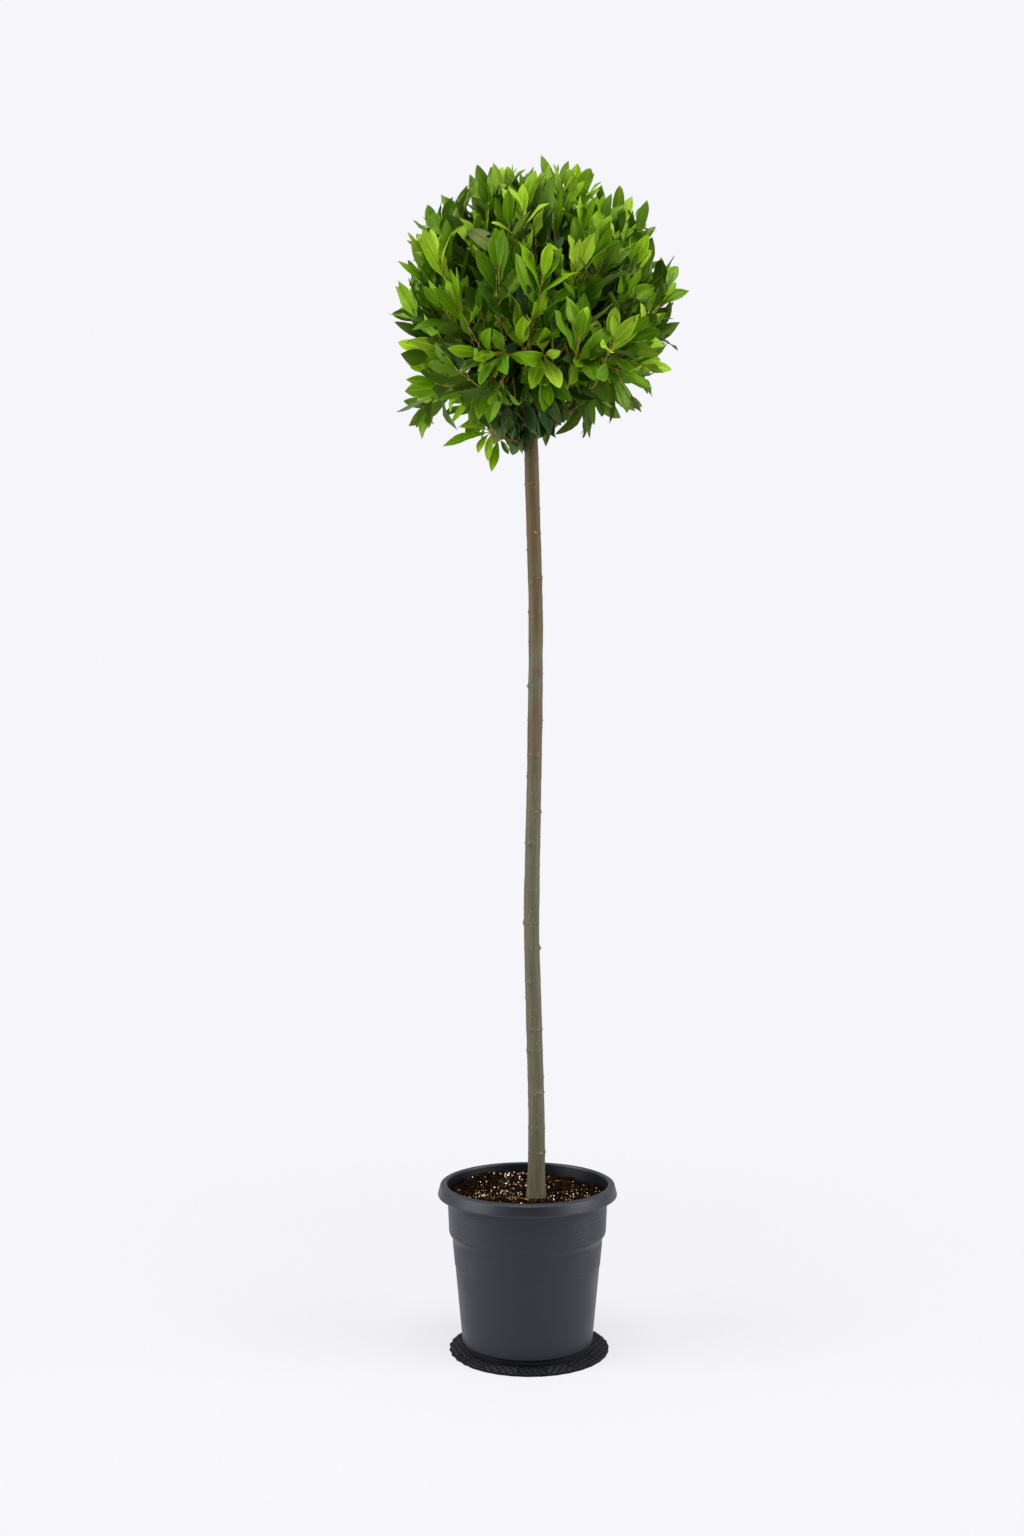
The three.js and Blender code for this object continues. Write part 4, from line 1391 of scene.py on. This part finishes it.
# The pieces of leaves from the youngest green to the oldest, the numbers of the last three, and
# the pale green that the undersides lean to.
LEAF_GREENS = [
    ("leaves_tender", "Laurel leaf, tender and waxed", "80a024"),
    ("leaves_young", "Laurel leaf, young and waxed", "739912"),
    ("leaves_fresh", "Laurel leaf, fresh and waxed", "598206"),
    ("leaves_bright", "Laurel leaf, bright and waxed", "476f04"),
    ("leaves_grown", "Laurel leaf, grown and waxed", "395e05"),
    ("leaves_mature", "Laurel leaf, mature and waxed", "294709"),
    ("leaves_deep", "Laurel leaf, deep green and waxed", "1b320c"),
    ("leaves_shaded", "Laurel leaf, shaded and waxed", "3c5735"),
]
MATURE, DEEP, SHADED = 5, 6, 7
UNDERSIDE = "8ca83c"


def choose_greens(outward, order, rng):
    """The number of each leaf's green, dealt out by shoot: each shoot draws its own level round
    one that falls with height on the ball, darker low on the ball as painted shade and lighter on
    top as painted light, and each leaf further back on it is 0.42 of a green older, give or take
    0.7, darker for its age and as painted shade inside the ball."""
    # Painted shade and light: darker greens low on the ball, lighter ones on top.
    low = np.interp(outward[:, 2], [-1, -0.7, -0.3, 0.3, 1], [4.8, 3.6, 3.5, 3.6, 3.0])
    shoot = low + rng.normal(0, 1.65, len(outward))
    level = shoot[:, None] + 0.42 * (order - 4) + rng.normal(0, 0.7, order.shape)
    return np.clip(np.round(level), 0, len(LEAF_GREENS) - 1).astype(int)


# Heights in metres between which the shoots round the stem's top leave it.
COLLAR_HEIGHTS = (0.905, 0.95)


def collar_shoots(sizes, rng):
    """Outward way, foot, axis and tip of the short shoots that droop round the stem's top,
    lowest on the hanging spray's side."""
    count = sizes.collar
    turn = np.arange(count) * GOLDEN_ANGLE + rng.normal(0, 0.2, count)
    radial = np.column_stack([np.cos(turn), np.sin(turn), np.zeros(count)])
    lower = 12 * MM * smooth_rise(radial @ SPRAY_SIDE, 0.4, 0.95)
    foot = stem_middle(rng.uniform(*COLLAR_HEIGHTS, count) - lower) + 6 * MM * radial
    droop = unit(radial * rng.uniform(0.2, 0.7, (count, 1)) - UP * 0.9)
    out = rng.uniform(6, 20, (count, 1)) * MM
    up = rng.uniform(-4, 8, (count, 1)) * MM
    return radial, foot, droop, foot + radial * out + UP * up


# The hanging spray's side of the stem, its end in millimetres from the end of the frame's thin
# bough, and its leaves: the way each grows, how far it faces up, its length in millimetres, the
# step of its twig that it leaves, of 20 from the stem to the end, and the number of its green.
SPRAY_SIDE = np.array([-0.85, -0.53, 0])
SPRAY_END = (-11, -2, 10)
SPRAY_LEAVES = [
    ((-0.93, -0.25, -0.22), 0.75, 46, 20, 2),
    ((-0.90, -0.20, 0.36), 0.8, 27, 20, 1),
    ((-0.66, -0.40, -0.62), 0.75, 22, 20, 1),
    ((-0.18, -0.35, -0.92), 0.5, 25, 20, 0),
    ((-0.20, -0.20, -0.96), 0.2, 31, 16, 2),
    ((0.45, -0.30, -0.80), 0.4, 17, 16, 5),
    ((-0.60, -0.20, 0.75), 0.6, 26, 19, 5),
    ((-0.10, -0.30, 0.92), 0.5, 28, 18, 6),
    ((0.05, -0.40, 0.90), 0.5, 28, 13, 7),
    ((-0.15, -0.60, 0.75), 0.6, 26, 9, 6),
]


def spray_twig():
    """The thin bough and the twig that it goes on as, from inside the stem to its end."""
    feet, tips = frame_boughs()
    foot, tip = feet[-1:], tips[-1:]
    end = tip + np.array(SPRAY_END) * MM
    return bezier(stem_middle(foot[:, 2]), (foot + tip) / 2 + [0, 0, 3 * MM], tip, end, 21)


def spray_leaves():
    """Foot, root, heading, facing, length and green of the leaves of the hanging spray, which
    fan out from the last stretch of its twig."""
    ways, ups, longs, steps, numbers = (np.array(column, float) for column in zip(*SPRAY_LEAVES))
    along = unit(ways)
    facing = np.column_stack([np.full(len(ups), -0.1), ups - 1.3, ups])
    node = spray_twig()[0, steps.astype(int)]
    feet = node + along * 4 * MM
    return feet, node, along, square_to(along, facing), longs * MM, numbers.astype(int)


def leaf_rows(tips, sets, greens, kept):
    """Foot, root, heading, facing, length and green of every kept leaf of many shoots."""
    places = [tips[:, None] + sets["foot"], tips[:, None] + sets["root"]]
    rows = [*places, sets["along"], sets["facing"], sets["length"], greens]
    return [row[kept] for row in rows]


def inner_leaves(sizes, branches, paths, rng):
    """Older leaves set singly along the branches and the bare foot of the shoots, pointing
    outwards and up at random, in the darker greens, for their age and as painted shade inside
    the ball."""
    lines = np.concatenate([branches[:, 2:10], paths[:, 1:9]])
    count = sizes.inner_leaves
    which, step = rng.integers(0, len(lines), count), rng.integers(0, 7, count)
    here, ahead = lines[which, step], unit(lines[which, step + 1] - lines[which, step])
    side = square_to(ahead, unit(rng.normal(size=(count, 3)) + [0, 0, 0.4]))
    opening = rng.uniform(0.7, 1.3, count)[:, None]
    along = np.cos(opening) * ahead + np.sin(opening) * side
    facing = np.sin(opening) * ahead - np.cos(opening) * side
    length = sizes.leaf_length * rng.uniform(0.7, 1.0, count)
    greens = rng.integers(MATURE, SHADED + 1, count)
    return here + along * 3.5 * MM, here, along, facing, length, greens


def same_taper(paths, thick, thin):
    """Radii that taper in equal steps along every path, given in millimetres."""
    return np.broadcast_to(np.linspace(thick, thin, paths.shape[1]) * MM, paths.shape[:2])


def add_boughs(boughs):
    """The leader and the boughs, each from inside the stem to its end, and the spray's."""
    feet, _ = frame_boughs()
    start = stem_middle(feet[:-1, 2] - 4 * MM)
    start[0] = stem_middle(np.array([STEM_LEVELS[-1] - 6 * MM]))[0]
    limbs = np.concatenate([start[:, None], boughs], 1)
    wood = Shape()
    tubes(wood, limbs, same_taper(limbs, 3.7, 1.9), 10)
    twig = spray_twig()
    tubes(wood, twig, same_taper(twig, 1.6, 0.7), 8)
    bark = twig_bark("Bay boughs, smooth bark", ["4c3d25", "6b5733", "7d6a43"])
    wood.piece("boughs", [bark], "bough_bark", ["leader", *BOUGHS, "spray_bough"])


def add_twigs(branches, paths, green, collar):
    """The branches, the shoots' stalks, green where the light reaches them, and the short
    shoots round the stem's top."""
    twigs = Shape()
    tubes(twigs, branches, same_taper(branches, 2.1, 1.3), 7)
    fine = same_taper(paths, 1.2, 0.5)
    tubes(twigs, paths[~green], fine[~green], 5)
    tubes(twigs, paths[green], fine[green], 5, tag=1)
    tubes(twigs, collar, same_taper(collar, 1.3, 0.8), 5)
    brown = twig_bark("Bay twigs, golden brown bark", ["74662a", "968438", "b5a04a"])
    young = twig_bark("Bay shoots, green bark", ["4a4a1c", "5e6424", "7c7a30"])
    twigs.piece("twigs", [brown, young], "bough_bark")


def add_stalks(root, foot, along, facing):
    """A thin stalk for every leaf, from its root on the twig to just inside its blade."""
    middle = (root + foot) / 2 + 0.4 * MM * facing
    lines = np.stack([root, middle, foot + along * 1.5 * MM], 1)
    radii = np.broadcast_to(np.array([0.75, 0.6, 0.5]) * MM, lines.shape[:2])
    stalks = Shape()
    tubes(stalks, lines, radii, 4)
    golden = plain_plant("Leaf stalks, golden green", linear("93842f"), 0.5)
    stalks.piece("leaf_stalks", [golden], "foliage")


def add_greens(green, leaves, rng):
    """A piece of leaves for each green, its blades, its ribs and margins and its undersides
    each in their own material. leaves holds foot, heading, facing, length and width."""
    for number, (name, finish, colour) in enumerate(LEAF_GREENS):
        shape = Shape()
        add_leaves(shape, *(values[green == number] for values in leaves), rng)
        blade = leaf_blade(finish, linear(colour))
        # The rib's lighter green also colours the margins: a paler margin and a painted highlight
        # along the edges.
        rib = plain_plant(finish + ", its rib", shade(linear(colour), 1.8)[:3], 0.5)
        below = 0.32 * np.array(linear(UNDERSIDE)) + 0.7 * np.array(linear(colour))
        under = plain_plant(finish + ", its underside", below, 0.6)
        nodes = ["crown", "skirt", "hanging_spray"]
        piece = shape.piece(name, [blade, rib, under], "foliage", nodes)
        sharpen_margins(piece.data)


def build_crown(sizes):
    """Everything that grows in the ball: boughs, branches, shoots, leaf stalks and leaves. A
    shoot low on the ball keeps only the leaves near its tip, and the spray's leaves are rolled
    at random far less than the others."""
    rng = np.random.default_rng(sizes.seed)
    crown = Crown(sizes)
    boughs, branches = grow_branches(sizes, crown, rng)
    outward, tips, paths, sets = grow_shoots(sizes, crown, branches, rng)
    radial, collar_foot, droop, collar_tips = collar_shoots(sizes, rng)
    level = unit(droop * [1, 1, 0]) * 8 * MM
    before = collar_tips - droop * 9 * MM
    collar_paths = bezier(collar_foot, collar_foot + level, before, collar_tips, 8)
    add_boughs(boughs)
    add_twigs(branches, paths, outward[:, 2] > -0.1, collar_paths)

    leafy = np.interp(outward[:, 2], [-0.8, -0.4, 0.0, 0.2], [4.2, 5.2, 8.2, 10])[:, None]
    collar_sets = leaf_places(sizes, radial, droop, rng)
    collar_greens = np.where(collar_sets["order"] > 2, SHADED, DEEP)
    greens = choose_greens(outward, sets["order"], rng)
    groups = [
        leaf_rows(tips, sets, greens, sets["order"] < leafy),
        leaf_rows(collar_tips, collar_sets, collar_greens, collar_sets["order"] < 6.6),
        spray_leaves(),
        inner_leaves(sizes, branches, paths, rng),
    ]
    foot, root, along, facing, length, green = (np.concatenate(rows) for rows in zip(*groups))
    loose = np.repeat([1.0, 1.0, 0.1, 1.0], [len(group[0]) for group in groups])
    roll = (loose * rng.normal(0, 0.3, len(foot)))[:, None]
    facing = np.cos(roll) * facing + np.sin(roll) * np.cross(along, facing)
    width = sizes.leaf_width * rng.normal(1, 0.09, len(foot))
    add_stalks(root, foot, along, facing)
    add_greens(green, (foot, along, facing, length, width), rng)


# ------------------------------------------------------------------ stage


# The floor's and the backdrop's radius in metres; the lights' names, places, sides in metres
# and watts; and the place they are turned to, the middle of the plant.
STAGE_RADIUS = 14.0
SOFT_BOXES = [
    ("left_light", (-2.2, -0.7, 1.3), 1.8, 62),
    ("right_light", (2.2, -0.7, 1.3), 1.8, 56),
    ("top_light", (0.0, -0.9, 2.8), 1.5, 44),
]
LIT_PLACE = (0, 0, 0.75)


def add_air(scene, white, sizes):
    """The light from all round: even, but dimmer by a smooth step on the viewer's side."""
    world = bpy.data.worlds.new("studio_air")
    world.use_nodes = True
    air = world.node_tree.nodes["Background"]
    air.inputs["Color"].default_value = white
    way = add_node(world, "ShaderNodeTexCoord")
    ahead = add_node(world, "ShaderNodeSeparateXYZ", {0: way.outputs["Generated"]})
    add_node(
        world,
        "ShaderNodeMapRange",
        {
            "Value": ahead.outputs["Y"],
            "From Min": -0.7,
            "From Max": 0.5,
            "To Min": sizes.ambient_front,
            "To Max": sizes.ambient,
        },
        feeds={0: air.inputs["Strength"]},
        interpolation_type="SMOOTHSTEP",
    )
    scene.world = world


def add_backdrop(white):
    """A wide round dome of seamless paper lit evenly, which only the camera sees."""
    paper = bpy.data.materials.new("Seamless paper, evenly lit")
    paper.use_nodes = True
    paper.node_tree.nodes.clear()
    lit = add_node(paper, "ShaderNodeEmission", {"Color": white, "Strength": 1.0})
    add_node(paper, "ShaderNodeOutputMaterial", {"Surface": lit.outputs[0]})
    rows = np.radians(np.linspace(-90, 90, 33))[1:-1]
    radius = STAGE_RADIUS * np.cos(rows)
    height = STAGE_RADIUS * np.sin(rows)
    profile = [[0, *radius, 0], [-STAGE_RADIUS, *height, STAGE_RADIUS]]
    shape = Shape()
    turned(shape, np.column_stack(profile), 64)
    dome = add_object("studio_backdrop", shape.mesh("studio_backdrop", [paper]))
    for ray in ("diffuse", "glossy", "transmission", "volume_scatter", "shadow"):
        setattr(dome, "visible_" + ray, False)


def add_floor(white, sizes):
    """A round matt floor. It fades into the backdrop's even white by a smooth step, fully at
    0.9 m from the plant, and is most of the way there from the start, so that shadows on it
    stay faint."""
    material, shader = new_material(
        "Matt white sweep",
        Base_Color=shade(sizes.backdrop, 0.7),
        Roughness=0.9,
        Specular_IOR_Level=0.1,
    )
    glow = add_node(material, "ShaderNodeEmission", {"Color": white, "Strength": 1.0})
    places = add_node(material, "ShaderNodeTexCoord").outputs["Object"]
    away = add_node(material, "ShaderNodeVectorMath", {0: places}, operation="LENGTH")
    fade = add_node(
        material,
        "ShaderNodeMapRange",
        {"Value": away.outputs["Value"], "From Min": 0.1, "From Max": 0.9, "To Min": 0.7},
        interpolation_type="SMOOTHSTEP",
    )
    add_node(
        material,
        "ShaderNodeMixShader",
        {0: fade.outputs[0], 1: shader.outputs[0], 2: glow.outputs[0]},
        feeds={0: material.node_tree.nodes["Material Output"].inputs["Surface"]},
    )
    corners = 96
    ring = np.column_stack([STAGE_RADIUS * round_angles(corners)[1], np.zeros(corners)])
    mesh = bpy.data.meshes.new("studio_floor")
    mesh.from_pydata(ring.tolist(), [], [range(corners)])
    mesh.materials.append(material)
    add_object("studio_floor", mesh)


def build_stage(sizes):
    """A pale floor that fades evenly into the backdrop's white, soft light from the left, the
    right and above, and the camera."""
    scene = bpy.context.scene
    scene.view_settings.view_transform = "Standard"
    white = (*sizes.backdrop, 1)
    add_air(scene, white, sizes)
    add_backdrop(white)
    add_floor(white, sizes)

    for name, place, size, power in SOFT_BOXES:
        light = bpy.data.lights.new(name, "AREA")
        light.size = size
        light.energy = power
        lamp = add_object(name, light)
        lamp.location = place
        aim = Vector(LIT_PLACE) - lamp.location
        lamp.rotation_euler = aim.to_track_quat("-Z", "Y").to_euler()

    lens = bpy.data.cameras.new("camera")
    lens.lens = sizes.lens
    lens.sensor_width = 36
    lens.clip_end = 100
    camera = add_object("camera", lens)
    camera.location = (-sizes.aside, -sizes.distance, sizes.height)
    camera.rotation_euler = (math.pi / 2 - sizes.pitch, 0, 0)
    scene.camera = camera


# ------------------------------------------------------------------ operators and panel


class TOPIARY_OT_stage(bpy.types.Operator):
    """Add the floor, the soft light and the camera"""

    bl_idname = "topiary.stage"
    bl_label = "Studio"

    def execute(self, context):
        build_stage(context.scene.topiary_stage)
        return {"FINISHED"}


class TOPIARY_OT_mat(bpy.types.Operator):
    """Add the thin round mat under the pot"""

    bl_idname = "topiary.mat"
    bl_label = "Mat"

    def execute(self, context):
        build_mat(context.scene.topiary_pot)
        return {"FINISHED"}


class TOPIARY_OT_pot(bpy.types.Operator):
    """Add the ribbed nursery pot"""

    bl_idname = "topiary.pot"
    bl_label = "Pot"

    def execute(self, context):
        build_pot(context.scene.topiary_pot)
        return {"FINISHED"}


class TOPIARY_OT_compost(bpy.types.Operator):
    """Add the compost with its crumbs, bark chips and perlite"""

    bl_idname = "topiary.compost"
    bl_label = "Compost"

    def execute(self, context):
        build_compost(context.scene.topiary_compost)
        return {"FINISHED"}


class TOPIARY_OT_stem(bpy.types.Operator):
    """Add the stem in its bark, with leaf scars and pores"""

    bl_idname = "topiary.stem"
    bl_label = "Stem"

    def execute(self, context):
        build_stem(context.scene.topiary_stem)
        return {"FINISHED"}


class TOPIARY_OT_crown(bpy.types.Operator):
    """Grow the boughs, twigs and leaves of the clipped ball"""

    bl_idname = "topiary.crown"
    bl_label = "Crown"

    def execute(self, context):
        build_crown(context.scene.topiary_crown)
        return {"FINISHED"}


GROUPS = {
    "topiary_stage": TopiaryStage,
    "topiary_pot": TopiaryPot,
    "topiary_compost": TopiaryCompost,
    "topiary_stem": TopiaryStem,
    "topiary_crown": TopiaryCrown,
}
OPERATORS = (
    TOPIARY_OT_stage,
    TOPIARY_OT_mat,
    TOPIARY_OT_pot,
    TOPIARY_OT_compost,
    TOPIARY_OT_stem,
    TOPIARY_OT_crown,
)


class TOPIARY_PT_sidebar(bpy.types.Panel):
    """The topiary's sizes and the buttons that build its pieces"""

    bl_label = "Standard Bay Topiary"
    bl_space_type = "VIEW_3D"
    bl_region_type = "UI"
    bl_category = "Topiary"

    def draw(self, context):
        for operator in OPERATORS:
            self.layout.operator(operator.bl_idname)
        for name, group in GROUPS.items():
            box = self.layout.box()
            for size in group.__annotations__:
                box.prop(getattr(context.scene, name), size)


CLASSES = (*GROUPS.values(), *OPERATORS, TOPIARY_PT_sidebar)


def register():
    for item in CLASSES:
        bpy.utils.register_class(item)
    for name, group in GROUPS.items():
        setattr(bpy.types.Scene, name, PointerProperty(type=group))


def unregister():
    for name in GROUPS:
        delattr(bpy.types.Scene, name)
    for item in reversed(CLASSES):
        bpy.utils.unregister_class(item)


def main():
    """Builds every piece in order."""
    register()
    bpy.ops.topiary.stage()
    bpy.ops.topiary.mat()
    bpy.ops.topiary.pot()
    bpy.ops.topiary.compost()
    bpy.ops.topiary.stem()
    bpy.ops.topiary.crown()


if __name__ == "__main__":
    main()
